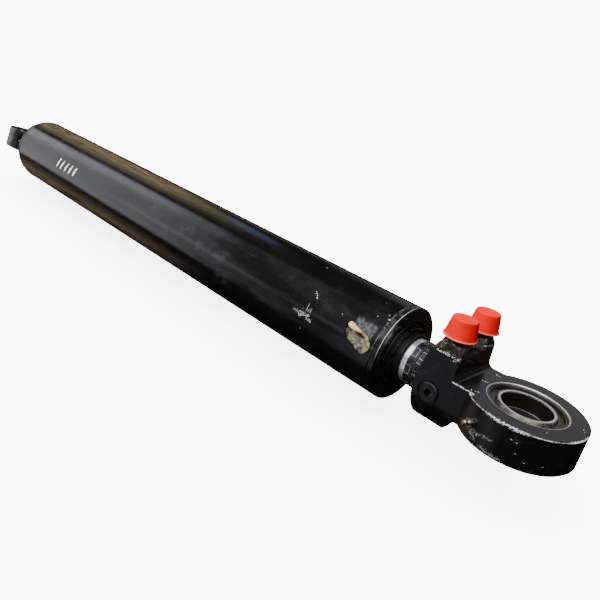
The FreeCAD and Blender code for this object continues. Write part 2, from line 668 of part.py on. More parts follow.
NODES = {
    # barrel
    "barrel_tube": barrel_tube(),
    "rear_cap": rear_cap(),
    "rear_cap_weld": rear_cap_weld(),
    "rear_eye": on_rear_eye(rear_eye()),
    "rear_eye_weld": on_rear_eye(rear_eye_weld()),
    "rear_bearing_outer": on_rear_eye(bearing_outer()),
    "rear_circlips": on_rear_eye(circlips()),
    "rear_grease_nipple": on_rear_eye(grease_nipple(REAR_EYE_R, REAR_NIPPLE_ANGLE)),
    "head_gland": head_gland(),
    "head_lock_screw": head_lock_screw(),
    "pocket_sealant": pocket_sealant(),
    "head_o_ring": groove_ring(HEAD_O_RING, BORE_R - SEAL_FIT),
    "head_guide_ring": bore_ring(HEAD_GUIDE, SLEEVE_R + GUIDE_FIT),
    "head_seal": bore_seal(HEAD_SEAL, SLEEVE_R + SEAL_FIT, SEAL_LIP),
    "head_wiper": bore_seal(HEAD_WIPER, SLEEVE_R + SEAL_FIT, WIPER_LIP),
    # sleeve
    "sleeve_tube": sleeve_tube(),
    "sleeve_piston": sleeve_piston(),
    "sleeve_piston_seal": groove_ring(SLEEVE_PISTON_SEAL, BORE_R - SEAL_FIT),
    "sleeve_piston_guides": groove_rings(SLEEVE_PISTON_GUIDES, BORE_R - GUIDE_FIT),
    "sleeve_gland": sleeve_gland(),
    "sleeve_o_ring": groove_ring(SLEEVE_O_RING, SLEEVE_GLAND_R - SEAL_FIT),
    "sleeve_guide_ring": bore_ring(SLEEVE_GUIDE, ROD_R + GUIDE_FIT),
    "sleeve_seal": bore_seal(SLEEVE_SEAL, ROD_R + SEAL_FIT, SEAL_LIP),
    "sleeve_wiper": bore_seal(SLEEVE_WIPER, ROD_R + SEAL_FIT, WIPER_LIP),
    # rod
    "rod": rod(),
    "feed_tube": ring(FEED_TUBE_X[0], FEED_TUBE_X[1], FEED_TUBE_BORE_R, FEED_TUBE_R),
    "rod_piston": rod_piston(),
    "rod_piston_seal": groove_ring(ROD_PISTON_SEAL, SLEEVE_BORE_R - SEAL_FIT),
    "rod_piston_guides": groove_rings(ROD_PISTON_GUIDES, SLEEVE_BORE_R - GUIDE_FIT),
    "piston_nut": piston_nut(),
    "rod_lock_nut": rod_lock_nut(),
    "lock_washer": lock_washer(),
    "rod_end_block": rod_end_block(),
    "near_gallery_plug": gallery_plug(NEAR_PLUG),
    "far_gallery_plug": gallery_plug(FAR_PLUG),
    "port_stubs": Part.makeCompound([port_stub(y) for y in (NEAR_PORT_Y, FAR_PORT_Y)]),
    "port_stub_welds": Part.makeCompound([port_weld(y) for y in (NEAR_PORT_Y, FAR_PORT_Y)]),
    "rod_bearing_outer": on_rod_eye(bearing_outer()),
    "rod_circlips": on_rod_eye(circlips()),
    "rod_grease_nipple": on_rod_eye(grease_nipple(EYE_R, ROD_NIPPLE_ANGLE)),
    # pieces on joints of their own
    "rear_bearing_inner": on_rear_eye(bearing_inner()),
    "rod_bearing_inner": on_rod_eye(bearing_inner()),
    "near_port_cap": port_cap(NEAR_PORT_Y),
    "far_port_cap": port_cap(FAR_PORT_Y),
}

os.makedirs("parts", exist_ok=True)
for name, shape in NODES.items():
    shape.exportStep(os.path.join("parts", name + ".step"))
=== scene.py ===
import bmesh
import bpy
import json
import math
from mathutils import Matrix, Vector, noise


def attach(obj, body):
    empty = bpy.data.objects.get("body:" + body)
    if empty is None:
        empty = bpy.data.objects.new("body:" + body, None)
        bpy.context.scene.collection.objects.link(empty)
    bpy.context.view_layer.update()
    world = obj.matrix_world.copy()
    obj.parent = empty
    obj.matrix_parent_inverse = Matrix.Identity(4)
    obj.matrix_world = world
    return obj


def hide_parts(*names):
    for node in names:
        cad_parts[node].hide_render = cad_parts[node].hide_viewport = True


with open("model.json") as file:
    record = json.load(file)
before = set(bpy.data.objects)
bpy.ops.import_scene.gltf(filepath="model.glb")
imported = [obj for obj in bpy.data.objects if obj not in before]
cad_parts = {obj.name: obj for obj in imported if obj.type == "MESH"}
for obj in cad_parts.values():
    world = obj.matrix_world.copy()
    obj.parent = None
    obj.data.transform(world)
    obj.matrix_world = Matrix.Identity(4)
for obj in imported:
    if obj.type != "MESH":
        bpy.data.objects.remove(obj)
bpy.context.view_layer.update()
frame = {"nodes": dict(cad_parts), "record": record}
nodes = frame["nodes"]

MM = 0.001
BARREL_R = 54 * MM
ROD_EYE_X = 1034 * MM
PORT_X = 960.0                # the ports and their caps, in mm
NEAR_PORT_Y = -25.0
FAR_PORT_Y = 22.5

# sockets of the mix node when it mixes colours
MIX_AMOUNT, MIX_FIRST, MIX_SECOND, MIX_RESULT = 0, 6, 7, 2
SPOT_NOISE_SCALE = 420.0
SPOT_REACH = 6                # full swing of a spot's outline, in radii at warp 1
EDGE_START, EDGE_FULL = 0.02, 0.25    # how far the normal has to turn for an edge to show

# ---------------------------------------------------------------- node helpers


class Surface:
    """A procedural material, built one node at a time. Sockets and plain values are both accepted."""

    def __init__(self, name):
        self.material = bpy.data.materials.new(name)
        self.material.use_nodes = True
        self.tree = self.material.node_tree
        self.shader = self.tree.nodes["Principled BSDF"]
        self.place = self.add("ShaderNodeTexCoord").outputs["Object"]
        parts = self.add("ShaderNodeSeparateXYZ", self.place).outputs
        self.x, self.y, self.z = parts[0], parts[1], parts[2]

    def add(self, kind, *values, **settings):
        node = self.tree.nodes.new(kind)
        for key, value in settings.items():
            setattr(node, key, value)
        for index, value in enumerate(values):
            self.feed(node.inputs[index], value)
        return node

    def feed(self, socket, value):
        if isinstance(value, bpy.types.NodeSocket):
            self.tree.links.new(value, socket)
        elif value is not None:
            if isinstance(value, tuple) and len(value) == 3 and len(socket.default_value) == 4:
                value = value + (1.0,)
            socket.default_value = value

    def math(self, operation, a, b=None, clamp=False):
        return self.add("ShaderNodeMath", a, b, operation=operation, use_clamp=clamp).outputs[0]

    def mul(self, first, *others):
        for other in others:
            first = self.math("MULTIPLY", first, other)
        return first

    def plus(self, first, *others):
        for other in others:
            first = self.math("ADD", first, other, clamp=True)
        return first

    def most(self, first, *others):
        for other in others:
            first = self.math("MAXIMUM", first, other)
        return first

    def ramp(self, value, low, high, to_low=0.0, to_high=1.0):
        """Smooth step from to_low at low to to_high at high."""
        node = self.add("ShaderNodeMapRange", value, interpolation_type="SMOOTHSTEP")
        if low > high:
            low, high, to_low, to_high = high, low, to_high, to_low
        for key, number in (("From Min", low), ("From Max", high), ("To Min", to_low), ("To Max", to_high)):
            node.inputs[key].default_value = number
        return node.outputs[0]

    def band(self, value, low, high, soft):
        """1 between low and high, fading out over soft on both sides."""
        return self.mul(self.ramp(value, low - soft, low + soft), self.ramp(value, high + soft, high - soft))

    def stretched(self, sx, sy, sz):
        node = self.add("ShaderNodeVectorMath", self.place, (sx, sy, sz), operation="MULTIPLY")
        return node.outputs[0]

    def noise(self, scale, detail=3.0, rough=0.55, place=None, distortion=0.0):
        node = self.add("ShaderNodeTexNoise", place or self.place)
        node.inputs["Scale"].default_value = scale
        node.inputs["Detail"].default_value = detail
        node.inputs["Roughness"].default_value = rough
        node.inputs["Distortion"].default_value = distortion
        return node.outputs["Fac"]

    def mix(self, amount, a, b):
        node = self.add("ShaderNodeMix", data_type="RGBA")
        self.feed(node.inputs[MIX_AMOUNT], amount)
        self.feed(node.inputs[MIX_FIRST], a)
        self.feed(node.inputs[MIX_SECOND], b)
        return node.outputs[MIX_RESULT]

    def edges(self, radius):
        """1 where a rounded-over normal leaves the true one, which is along the edges."""
        bevel = self.add("ShaderNodeBevel", radius, samples=6).outputs[0]
        true = self.add("ShaderNodeNewGeometry").outputs["True Normal"]
        dot = self.add("ShaderNodeVectorMath", bevel, true, operation="DOT_PRODUCT").outputs["Value"]
        return self.ramp(self.math("SUBTRACT", 1.0, dot), EDGE_START, EDGE_FULL)

    def spots(self, where, warp=1.0, soft=0.35, squash=(1.0, 1.0, 1.0)):
        """Ragged spots. where lists (x, y, z, radius) in millimetres; squash flattens them."""
        wave = self.add("ShaderNodeTexNoise", self.place)
        wave.inputs["Scale"].default_value = SPOT_NOISE_SCALE
        wave.inputs["Detail"].default_value = 3.0
        centred = self.add("ShaderNodeVectorMath", wave.outputs["Color"], (0.5, 0.5, 0.5),
                           operation="SUBTRACT").outputs[0]
        place = self.stretched(*squash)
        result = None
        for x, y, z, radius in where:
            shift = self.add("ShaderNodeVectorMath", centred, operation="SCALE")
            shift.inputs["Scale"].default_value = radius * MM * warp * SPOT_REACH
            moved = self.add("ShaderNodeVectorMath", place, shift.outputs[0], operation="ADD")
            centre = (x * MM * squash[0], y * MM * squash[1], z * MM * squash[2])
            far = self.add("ShaderNodeVectorMath", moved.outputs[0], centre,
                           operation="DISTANCE").outputs["Value"]
            one = self.ramp(far, radius * MM * (1 + soft), radius * MM * (1 - soft))
            result = one if result is None else self.most(result, one)
        return result

    def from_eye(self):
        """Distance from the axis of the rod eye's bore."""
        ahead = self.math("SUBTRACT", self.x, ROD_EYE_X)
        flat = self.add("ShaderNodeCombineXYZ", ahead, self.y, 0.0).outputs[0]
        return self.add("ShaderNodeVectorMath", flat, operation="LENGTH").outputs["Value"]

    def around(self):
        """Angle about X in degrees: 0 toward -Y, 90 on top, negative underneath."""
        back = self.math("MULTIPLY", self.y, -1.0)
        return self.math("MULTIPLY", self.math("ARCTAN2", self.z, back), 180 / math.pi)

    def radius_x(self):
        """Distance from the long axis."""
        flat = self.add("ShaderNodeCombineXYZ", 0.0, self.y, self.z).outputs[0]
        return self.add("ShaderNodeVectorMath", flat, operation="LENGTH").outputs["Value"]

    def finish(self, colour=None, rough=None, bump=None, height=0.0002, metal=None, **fixed):
        """Feeds the shader. height is the depth of the bump in metres."""
        self.feed(self.shader.inputs["Base Color"], colour)
        self.feed(self.shader.inputs["Roughness"], rough)
        self.feed(self.shader.inputs["Metallic"], metal)
        for key, value in fixed.items():
            self.shader.inputs[key.replace("_", " ").title().replace("Ior", "IOR")].default_value = value
        if bump is not None:
            node = self.add("ShaderNodeBump")
            node.inputs["Distance"].default_value = height
            node.inputs["Strength"].default_value = 1.0
            self.feed(node.inputs["Height"], bump)
            self.feed(self.shader.inputs["Normal"], node.outputs[0])
        return self.material


# ---------------------------------------------------------------- finishes

BLACK = (0.0028, 0.0028, 0.0031)
DUST = (0.060, 0.059, 0.058)
OLIVE = (0.050, 0.036, 0.014)
CHALK = (0.50, 0.50, 0.49)
BARE = (0.62, 0.62, 0.62)

# Every list of marks below holds (x, y, z, radius) in millimetres.
BARREL_CHIPS = [(884.4, -30.0, 44.9, 1.0), (887.2, -33.6, 42.3, 0.8), (794.3, -41.5, 34.5, 0.6),
                (796.0, -42.6, 33.0, 0.9), (798.0, -43.8, 31.5, 0.9), (799.8, -45.0, 30.0, 0.8),
                (800.9, -45.5, 29.1, 0.5)]
BARREL_NICKS = [(869.1, -17.8, 51.0, 0.5), (874.1, -35.2, 40.9, 0.5), (837.8, -46.2, 28.0, 0.7),
                (849.6, -51.2, 17.8, 0.5), (777.1, -11.4, 52.8, 0.8), (313.3, -44.3, 30.8, 0.7),
                (560.0, -51.0, 17.7, 0.5), (792.9, -53.4, -8.0, 1.0)]
BARREL_BLOOM = [(483.9, -46.9, 26.7, 6.0), (561.8, -48.0, 24.8, 8.0), (635.6, -50.9, 18.0, 9.0),
                (654.1, -53.4, -8.1, 8.0), (598.0, -52.0, 14.6, 6.0)]
BARREL_SCUFFS = [(779.1, -53.4, 7.9, 0.8), (783.5, -53.4, 8.1, 1.2), (787.8, -53.4, 8.2, 1.6),
                 (791.5, -53.4, 7.9, 2.0), (795.4, -53.5, 7.4, 2.2), (799.3, -53.6, 6.6, 1.7),
                 (803.8, -53.7, 5.2, 1.0)]

# Where bands lie on the barrel: from and to along X in metres, or round it in degrees.
# the brown film is dust and a painted reflection of olive surroundings
FILM_SHEEN_ENDS = (0.60, 0.42)
FILM_SHEEN_ABOVE = (62.0, 122.0)
FILM_SHEEN_BELOW = (-18.0, -34.0)
PATCH_X, PATCH_ANGLE = (0.856, 0.882), (22.0, 39.0)
BLUE_X, BLUE_ANGLE = (0.600, 0.695), (69.0, 83.0)
# the seam's light line is a painted highlight
SEAM_HIGHLIGHT_X, SEAM_HIGHLIGHT_ANGLE = (0.8879, 0.8886), (8.0, 78.0)
TICKS_X, TICKS_ANGLE = (0.7895, 0.8015), (14.0, 25.0)
# pale grey at the rear rim is a painted sheen
REAR_RIM_SHEEN_X = (0.067, 0.060)


def barrel_paint():
    s = Surface("barrel_paint")
    angle = s.around()
    cloud = s.noise(9.0, 4.0)
    mottle = s.noise(55.0, 5.0, 0.6)
    fine = s.noise(620.0, 3.0)
    streak = s.noise(1.0, 4.0, 0.6, s.stretched(9.0, 170.0, 170.0))
    sag = s.noise(1.0, 3.0, 0.5, s.stretched(6.0, 26.0, 26.0))
    scratch = s.noise(1.0, 3.0, 0.5, s.stretched(30.0, 1400.0, 1400.0))

    # brown film along the top and the underside of the rear half: dust, and a painted reflection of olive
    # surroundings, with fine painted streak highlights in it
    rearward = s.ramp(s.x, *FILM_SHEEN_ENDS)
    upper = s.band(angle, *FILM_SHEEN_ABOVE, 9.0)
    lower = s.ramp(angle, *FILM_SHEEN_BELOW)
    dust_film_and_sheen = s.mul(rearward, s.most(upper, lower), s.ramp(streak, 0.30, 0.62, 0.25, 1.0))
    colour = s.mix(s.mul(dust_film_and_sheen, 0.35), BLACK, OLIVE)
    # painted streak highlights: fine tan lines in the film
    thin = s.noise(1.0, 4.0, 0.65, s.stretched(16.0, 420.0, 420.0))
    film_streak_highlights = s.mul(rearward, s.most(s.ramp(angle, 62.0, 80.0), lower), s.ramp(thin, 0.52, 0.66))
    colour = s.mix(s.mul(film_streak_highlights, 0.75), colour, (0.13, 0.098, 0.045))

    # grey dust, thickest toward the head
    forward = s.ramp(s.x, 0.70, 0.86, 0.12, 1.0)
    dust = s.mul(forward, s.ramp(mottle, 0.46, 0.74), s.ramp(cloud, 0.35, 0.6), s.ramp(angle, -5.0, 40.0))
    colour = s.mix(s.mul(dust, 0.13), colour, DUST)

    # lengthwise rub marks
    rubs = s.mul(s.ramp(scratch, 0.60, 0.72), s.ramp(cloud, 0.42, 0.62), 0.30)
    colour = s.mix(rubs, colour, DUST)

    # rubbed patch around the lock pocket, a bluish one two thirds of the way to the head, pale bloom
    drift = s.math("SUBTRACT", s.noise(90.0, 4.0, 0.6), 0.5)
    patch_x = s.math("ADD", s.x, s.mul(drift, 0.022))
    patch_angle = s.math("ADD", angle, s.mul(drift, -26.0))
    pocket = s.mul(s.band(patch_x, *PATCH_X, 0.0020), s.band(patch_angle, *PATCH_ANGLE, 2.2),
                   s.ramp(s.noise(260.0, 5.0, 0.65), 0.38, 0.60, 0.20, 1.0))
    colour = s.mix(s.mul(pocket, 0.62), colour, (0.082, 0.083, 0.092))
    blue = s.mul(s.band(s.x, *BLUE_X, 0.014), s.band(angle, *BLUE_ANGLE, 3.0),
                 s.ramp(streak, 0.36, 0.58))
    colour = s.mix(s.mul(blue, 0.9), colour, (0.006, 0.011, 0.036))
    bloom = s.spots(BARREL_BLOOM, 0.35, 0.6, (0.6, 1.0, 1.0))
    colour = s.mix(s.mul(bloom, s.ramp(mottle, 0.40, 0.60), 0.22), colour, (0.060, 0.068, 0.080))

    # specks, chips, a painted highlight along the seam at the head, and a painted sheen on the rear rim
    speck = s.mul(s.ramp(s.noise(1150.0, 2.0), 0.70, 0.735), s.ramp(s.x, 0.66, 0.88, 0.05, 1.0),
                  s.ramp(cloud, 0.40, 0.6), s.ramp(angle, 0.0, 30.0))
    chips = s.most(s.spots(BARREL_CHIPS, squash=(0.8, 1.0, 1.2)), s.mul(s.spots(BARREL_NICKS, 1.6), 0.45),
                   s.mul(s.spots(BARREL_SCUFFS, 1.6, 0.6, (0.7, 1.0, 1.0)), s.ramp(fine, 0.34, 0.48)))
    seam_highlight = s.mul(s.band(s.x, *SEAM_HIGHLIGHT_X, 0.0003), s.band(angle, *SEAM_HIGHLIGHT_ANGLE, 14.0),
                 s.ramp(s.noise(240.0, 4.0), 0.36, 0.60, 0.10, 1.0))
    # painted sheen: pale mottled grey on the upper near side of the rear rim
    rim = s.mul(s.ramp(s.x, *REAR_RIM_SHEEN_X), s.ramp(mottle, 0.42, 0.66), s.ramp(angle, 10.0, 40.0))
    colour = s.mix(s.mul(rim, 0.5), colour, DUST)
    colour = s.mix(s.most(s.mul(speck, 0.35), s.mul(chips, 0.85), s.mul(seam_highlight, 0.28)), colour, CHALK)

    # faint upright scratches above the scuff
    ticks = s.mul(s.band(s.x, *TICKS_X, 0.0010), s.band(angle, *TICKS_ANGLE, 1.5),
                  s.ramp(s.noise(1.0, 3.0, 0.6, s.stretched(520.0, 60.0, 60.0)), 0.53, 0.60))
    colour = s.mix(s.mul(ticks, 0.40), colour, CHALK)

    # grime takes the gloss off in smears
    smear = s.noise(1.0, 4.0, 0.6, s.stretched(7.0, 34.0, 34.0))
    dulled = s.mul(s.ramp(smear, 0.44, 0.60), s.ramp(s.x, 0.52, 0.70, 0.25, 0.75))
    blotch = s.noise(1.0, 4.0, 0.6, s.stretched(11.0, 70.0, 70.0))
    streaked = s.mul(rearward, s.most(upper, lower), s.most(s.ramp(thin, 0.50, 0.36, 0.0, 0.7),
                                                            s.ramp(blotch, 0.52, 0.40, 0.0, 0.95)))
    s.feed(s.shader.inputs["Specular IOR Level"], s.ramp(s.most(dulled, streaked), 0.0, 1.0, 0.5, 0.12))

    rough = s.plus(s.ramp(mottle, 0.3, 0.8, 0.11, 0.19), s.mul(dust, 0.30), s.mul(pocket, 0.4),
                   s.mul(dust_film_and_sheen, 0.10), s.mul(streaked, 0.30))
    bump = s.plus(s.mul(fine, 0.06), s.mul(mottle, 0.20), s.mul(sag, 0.60),
                  s.mul(s.math("SUBTRACT", 1.0, chips), 0.14))
    return s.finish(colour, rough, bump, 0.00045)


HEAD_CHIPS = [(896.0, 33.0, 42.2, 0.9), (896.2, 36.6, 39.2, 1.2), (896.0, 39.8, 35.9, 0.7)]
# bright line at the front edge: worn metal, and partly a painted highlight; line at the back edge: a painted
# highlight
HEAD_FRONT_EDGE_X = (0.89525, 0.89575)
HEAD_SEAM_HIGHLIGHT_X = (0.8894, 0.8899)


def head_paint():
    s = Surface("gland_paint")
    angle = s.around()
    radius = s.radius_x()
    mottle = s.noise(120.0, 5.0, 0.6)
    outside = s.ramp(radius, 0.0525, 0.0533)
    dust = s.mul(outside, s.ramp(mottle, 0.44, 0.68), s.ramp(angle, 5.0, 40.0))
    colour = s.mix(s.mul(dust, 0.28), BLACK, DUST)
    speck = s.ramp(s.noise(1100.0, 2.0), 0.68, 0.72)
    colour = s.mix(s.mul(speck, outside, s.ramp(angle, 5.0, 40.0), 0.4), colour, CHALK)
    # front edge on the upper side: rubbed to bright metal, and partly a painted highlight along its chamfer
    worn = s.mul(s.band(s.x, *HEAD_FRONT_EDGE_X, 0.0002), s.ramp(radius, 0.0530, 0.0533),
                 s.ramp(angle, 2.0, 26.0, 0.0, 1.0), s.ramp(angle, 92.0, 72.0, 0.10, 1.0),
                 s.ramp(mottle, 0.30, 0.50, 0.60, 1.0))
    # painted highlight: faint light line along the seam at the flange's back edge
    back = s.mul(s.band(s.x, *HEAD_SEAM_HIGHLIGHT_X, 0.0003), outside, s.ramp(angle, 8.0, 40.0),
                 s.ramp(mottle, 0.42, 0.6, 0.0, 0.22))
    bare = s.most(worn, back, s.spots(HEAD_CHIPS))
    colour = s.mix(bare, colour, (0.62, 0.62, 0.61))
    rough = s.plus(s.ramp(mottle, 0.3, 0.8, 0.13, 0.22), s.mul(dust, 0.3), s.mul(bare, 0.10))
    return s.finish(colour, rough, s.plus(s.mul(mottle, 0.4), s.mul(bare, -0.2)), 0.0002, s.mul(bare, 0.6))


def plain_paint(name, scuff=0.35, edge=0.0011, keep=(0.46, 0.62), grease_and_shade_spots=()):
    """Gloss black paint with scuffs and worn edges, and spots of black lubricant that are also painted shade
    in a recess.
    """
    s = Surface(name)
    mottle = s.noise(75.0, 5.0, 0.6)
    fine = s.noise(430.0, 4.0, 0.6)
    colour = s.mix(s.mul(s.ramp(mottle, 0.48, 0.75), scuff), BLACK, DUST)
    worn = s.mul(s.edges(edge), s.ramp(s.plus(s.mul(fine, 0.6), s.mul(mottle, 0.45)), keep[0], keep[1]))
    colour = s.mix(s.mul(worn, 0.7), colour, CHALK)
    if grease_and_shade_spots:
        # black lubricant, also painted shade in the recess round the nipple
        grease_and_shade = s.spots(grease_and_shade_spots, 0.15, 0.25)
        colour = s.mix(grease_and_shade, colour, (0.001, 0.001, 0.001))
        s.feed(s.shader.inputs["Specular IOR Level"], s.ramp(grease_and_shade, 0.0, 1.0, 0.5, 0.04))
    rough = s.plus(s.ramp(mottle, 0.3, 0.8, 0.20, 0.34), s.mul(worn, 0.25))
    return s.finish(colour, rough, s.plus(s.mul(mottle, 0.45), s.mul(fine, 0.12)), 0.00030)


TOP_CHIPS = [(988.7, 26.7, 19.0, 0.8), (991.0, 26.0, 19.0, 0.7), (993.0, 25.6, 19.0, 0.5),
             (987.4, -1.8, 19.0, 0.8), (989.6, -0.8, 19.0, 0.7), (991.4, 0.0, 19.0, 0.6),
             (991.2, -33.2, 19.0, 0.7), (994.2, -30.8, 19.0, 0.8), (996.6, -29.5, 19.0, 0.9),
             (1065.7, -33.1, 19.0, 0.5), (1083.6, 10.1, 19.0, 0.5), (1085.6, 6.2, 19.0, 0.4)]
SIDE_TICKS = [(1047.2, -55.6, 8.0, 0.7), (1051.5, -54.4, 6.6, 0.6), (1063.0, -49.3, -8.9, 0.7),
              (1075.0, -39.7, -8.0, 0.5), (1053.5, -53.8, -3.2, 0.4)]
CRUST = [(1012.5, -53.0, -7.6, 2.9), (1010.0, -52.0, -3.6, 1.6), (1014.6, -53.8, -10.8, 2.0),
         (1019.2, -55.2, -4.8, 1.2), (1023.3, -56.2, -4.0, 1.1), (1027.4, -56.8, -3.0, 1.2),
         (1031.3, -57.1, -2.4, 1.0), (1025.8, -56.6, -14.6, 1.4), (1029.5, -57.0, -15.2, 1.6),
         (1033.4, -57.2, -15.0, 1.8), (1038.3, -57.0, -15.8, 1.6), (1042.7, -56.5, -15.4, 1.2)]
# bare metal along the toes of the beads; the last three spots, at the front of the far stub, are a painted
# highlight
WELD_TOE = [(951.2, -37.6, 40.9, 1.2), (955.3, -37.6, 41.3, 1.4), (959.4, -37.6, 41.6, 1.5),
            (962.8, -37.6, 41.4, 1.3), (966.4, -37.6, 41.0, 1.2), (969.4, -37.4, 40.8, 2.2),
            (972.4, -36.0, 40.2, 1.4), (972.4, -27.0, 40.6, 1.0), (972.4, -20.4, 40.6, 0.9),
            (972.4, -11.5, 40.4, 0.8), (972.4, 24.0, 40.4, 0.8), (972.4, 31.0, 40.4, 0.8),
            (972.2, 36.0, 40.4, 0.9)]

# painted highlight along the toe across the front of the far stub's bead
FAR_TOE_HIGHLIGHT = [(973.0, 8.5, 46.4, 0.5), (973.0, 12.6, 46.4, 0.6), (973.0, 17.0, 46.1, 0.7),
           (973.0, 21.5, 45.6, 0.7), (972.9, 26.0, 44.8, 0.6), (972.6, 30.6, 43.4, 0.6)]


def block_paint():
    """Rod end block and eye: gloss black, bright where the edges are rubbed, bare in the bearing's bore."""
    s = Surface("block_paint")
    mottle = s.noise(75.0, 5.0, 0.6)
    fine = s.noise(430.0, 4.0, 0.6)
    grain = s.noise(1100.0, 4.0, 0.65)
    cloud = s.noise(24.0, 3.0)
    across = s.from_eye()
    near = s.math("MULTIPLY", s.y, -1.0)
    colour = s.mix(s.mul(s.ramp(mottle, 0.50, 0.78), s.ramp(cloud, 0.38, 0.62), 0.22), BLACK, DUST)
    # faint sheen of dust on the upward faces
    upward = s.mul(s.ramp(s.z, 0.0178, 0.0188), s.ramp(s.x, 0.975, 0.990))
    colour = s.mix(s.mul(upward, s.ramp(mottle, 0.30, 0.70, 0.25, 0.60)), colour, (0.011, 0.0105, 0.012))

    # pale greenish crust low on the near flank, around the grease nipple
    crust = s.mul(s.spots(CRUST, 1.2, 0.6, (0.55, 0.8, 1.2)), s.ramp(s.noise(620.0, 4.0, 0.7), 0.38, 0.52))
    covered = s.mul(crust, 0.85)
    pale = s.mix(s.ramp(grain, 0.45, 0.60), (0.085, 0.085, 0.060), (0.34, 0.32, 0.28))
    colour = s.mix(covered, colour, pale)

    # worn rim of the eye, corner beside the block, and the edge under the near weld
    wander = s.mul(s.math("SUBTRACT", fine, 0.5), 0.0030)
    reach = s.math("ADD", across, wander)
    heavy = s.mul(s.band(s.x, 1.022, 1.056, 0.006), s.ramp(near, 0.030, 0.045))
    thin_rim = s.mul(s.band(s.z, 0.0176, 0.0183, 0.0003), s.ramp(across, 0.0560, 0.0564),
                     s.ramp(s.x, 0.998, 1.020, 0.25, 0.55), s.ramp(fine, 0.40, 0.56, 0.15, 1.0))
    wide_rim = s.mul(heavy, s.ramp(s.z, 0.0158, 0.0168), s.ramp(reach, 0.0558, 0.0565),
                     s.ramp(grain, 0.46, 0.54), s.ramp(fine, 0.42, 0.50))
    tip_rim = s.mul(s.ramp(s.x, 1.083, 1.087), s.ramp(s.z, 0.0172, 0.0176), s.ramp(reach, 0.0560, 0.0565),
                    s.ramp(near, -0.006, 0.000))
    rim = s.mul(s.most(thin_rim, wide_rim, tip_rim), s.ramp(near, -0.010, 0.004), s.ramp(s.x, 0.990, 1.002))
    shelf_edge = s.mul(s.band(s.z, 0.0181, 0.0192, 0.0003), s.band(s.x, 0.974, 0.997, 0.002),
                       s.ramp(s.math("ADD", near, wander), 0.0364, 0.0370),
                       s.most(s.ramp(s.x, 0.981, 0.978), s.mul(s.ramp(fine, 0.44, 0.54), 0.8), 0.12))
    # bare metal under the weld toes, and a painted highlight at the front of the far stub
    weld_edge = s.spots(WELD_TOE, 1.3, 0.4, (0.7, 1.0, 1.3))
    chips = s.most(s.spots(TOP_CHIPS), s.mul(s.spots(SIDE_TICKS, squash=(0.55, 0.55, 2.0)), 0.6))
    bare = s.most(s.mul(rim, 0.95), s.mul(shelf_edge, 0.9), s.mul(weld_edge, 0.9), chips)
    colour = s.mix(bare, colour, BARE)

    # machined bore for the bearing
    bore = s.mul(s.ramp(across, 0.0393, 0.0389), s.ramp(s.math("ABSOLUTE", s.z), 0.01905, 0.0189))
    seat_line = s.mul(s.ramp(across, 0.0379, 0.0382), s.ramp(s.z, 0.0176, 0.0180))
    steel = s.mix(s.ramp(grain, 0.42, 0.60), (0.40, 0.38, 0.34), (0.10, 0.095, 0.08))
    steel = s.mix(seat_line, steel, (0.80, 0.79, 0.76))
    colour = s.mix(bore, colour, steel)

    rough = s.plus(s.ramp(mottle, 0.3, 0.8, 0.17, 0.27), s.mul(bare, 0.20), s.mul(bore, 0.15),
                   s.mul(crust, 0.3), s.mul(upward, 0.06))
    bump = s.plus(s.mul(mottle, 0.35), s.mul(fine, 0.08), s.mul(s.math("SUBTRACT", 1.0, bare), 0.25),
                  s.mul(crust, grain, 0.3))
    return s.finish(colour, rough, bump, 0.00028, s.mul(bore, 0.85))


def worn_steel(name, colour, bare, rough, wear=0.8, grain=900.0, edge=0.0008, metal=1.0,
               stain=(0.10, 0.08, 0.05), speckle=0.35):
    """Machined steel with bright edges, fine grain and brown staining."""
    s = Surface(name)
    mottle = s.noise(140.0, 5.0, 0.62)
    fine = s.noise(grain, 3.0, 0.6)
    base = s.mix(s.ramp(mottle, 0.42, 0.70, 0.0, 0.75), colour, stain)
    base = s.mix(s.ramp(fine, 0.52, 0.68, 0.0, speckle), base, bare)
    # bright worn edges; on the nut and the collar they are partly painted glints
    worn = s.mul(s.edges(edge), s.ramp(mottle, 0.30, 0.52, 0.25, 1.0), wear)
    base = s.mix(worn, base, bare)
    roughness = s.plus(s.ramp(mottle, 0.3, 0.75, rough - 0.06, rough + 0.14), s.mul(worn, -0.08))
    bump = s.plus(s.mul(fine, 0.5 * speckle / 0.35), s.mul(mottle, 0.3))
    return s.finish(base, roughness, bump, 0.00008, metal)


def bearing_ring():
    """Inner ring of the rod end's bearing: bright rims, oily bore with a line half way down."""
    s = Surface("bearing_ring")
    mottle = s.noise(130.0, 5.0, 0.6)
    fine = s.noise(1500.0, 3.0, 0.6)
    radius = s.from_eye()
    depth = s.math("ABSOLUTE", s.z)
    in_bore = s.mul(s.ramp(radius, 0.0262, 0.0256), s.ramp(depth, 0.0171, 0.0166))
    base = s.mix(s.ramp(mottle, 0.4, 0.7), (0.20, 0.19, 0.16), (0.09, 0.085, 0.06))
    oily = s.mix(s.ramp(mottle, 0.35, 0.65), (0.060, 0.056, 0.030), (0.050, 0.046, 0.028))
    below = s.ramp(s.z, 0.0002, -0.0004)
    oily = s.mix(s.mul(below, 0.8), oily, (0.10, 0.10, 0.098))
    line = s.band(s.z, -0.0002, 0.0008, 0.0003)
    oily = s.mix(s.mul(line, s.ramp(mottle, 0.35, 0.5, 0.6, 1.0)), oily, (0.85, 0.84, 0.80))
    base = s.mix(in_bore, base, oily)
    collar = s.mul(s.ramp(radius, 0.0272, 0.0268), s.ramp(depth, 0.0158, 0.0165))
    rim = s.mul(s.most(s.edges(0.0007), collar), s.ramp(mottle, 0.3, 0.5, 0.7, 1.0))
    base = s.mix(rim, base, (0.86, 0.85, 0.82))
    rough = s.plus(s.ramp(mottle, 0.3, 0.7, 0.24, 0.30), s.mul(below, in_bore, 0.15))
    return s.finish(base, rough, s.plus(s.mul(fine, 0.05), s.mul(mottle, 0.15)), 0.00006, 0.9)


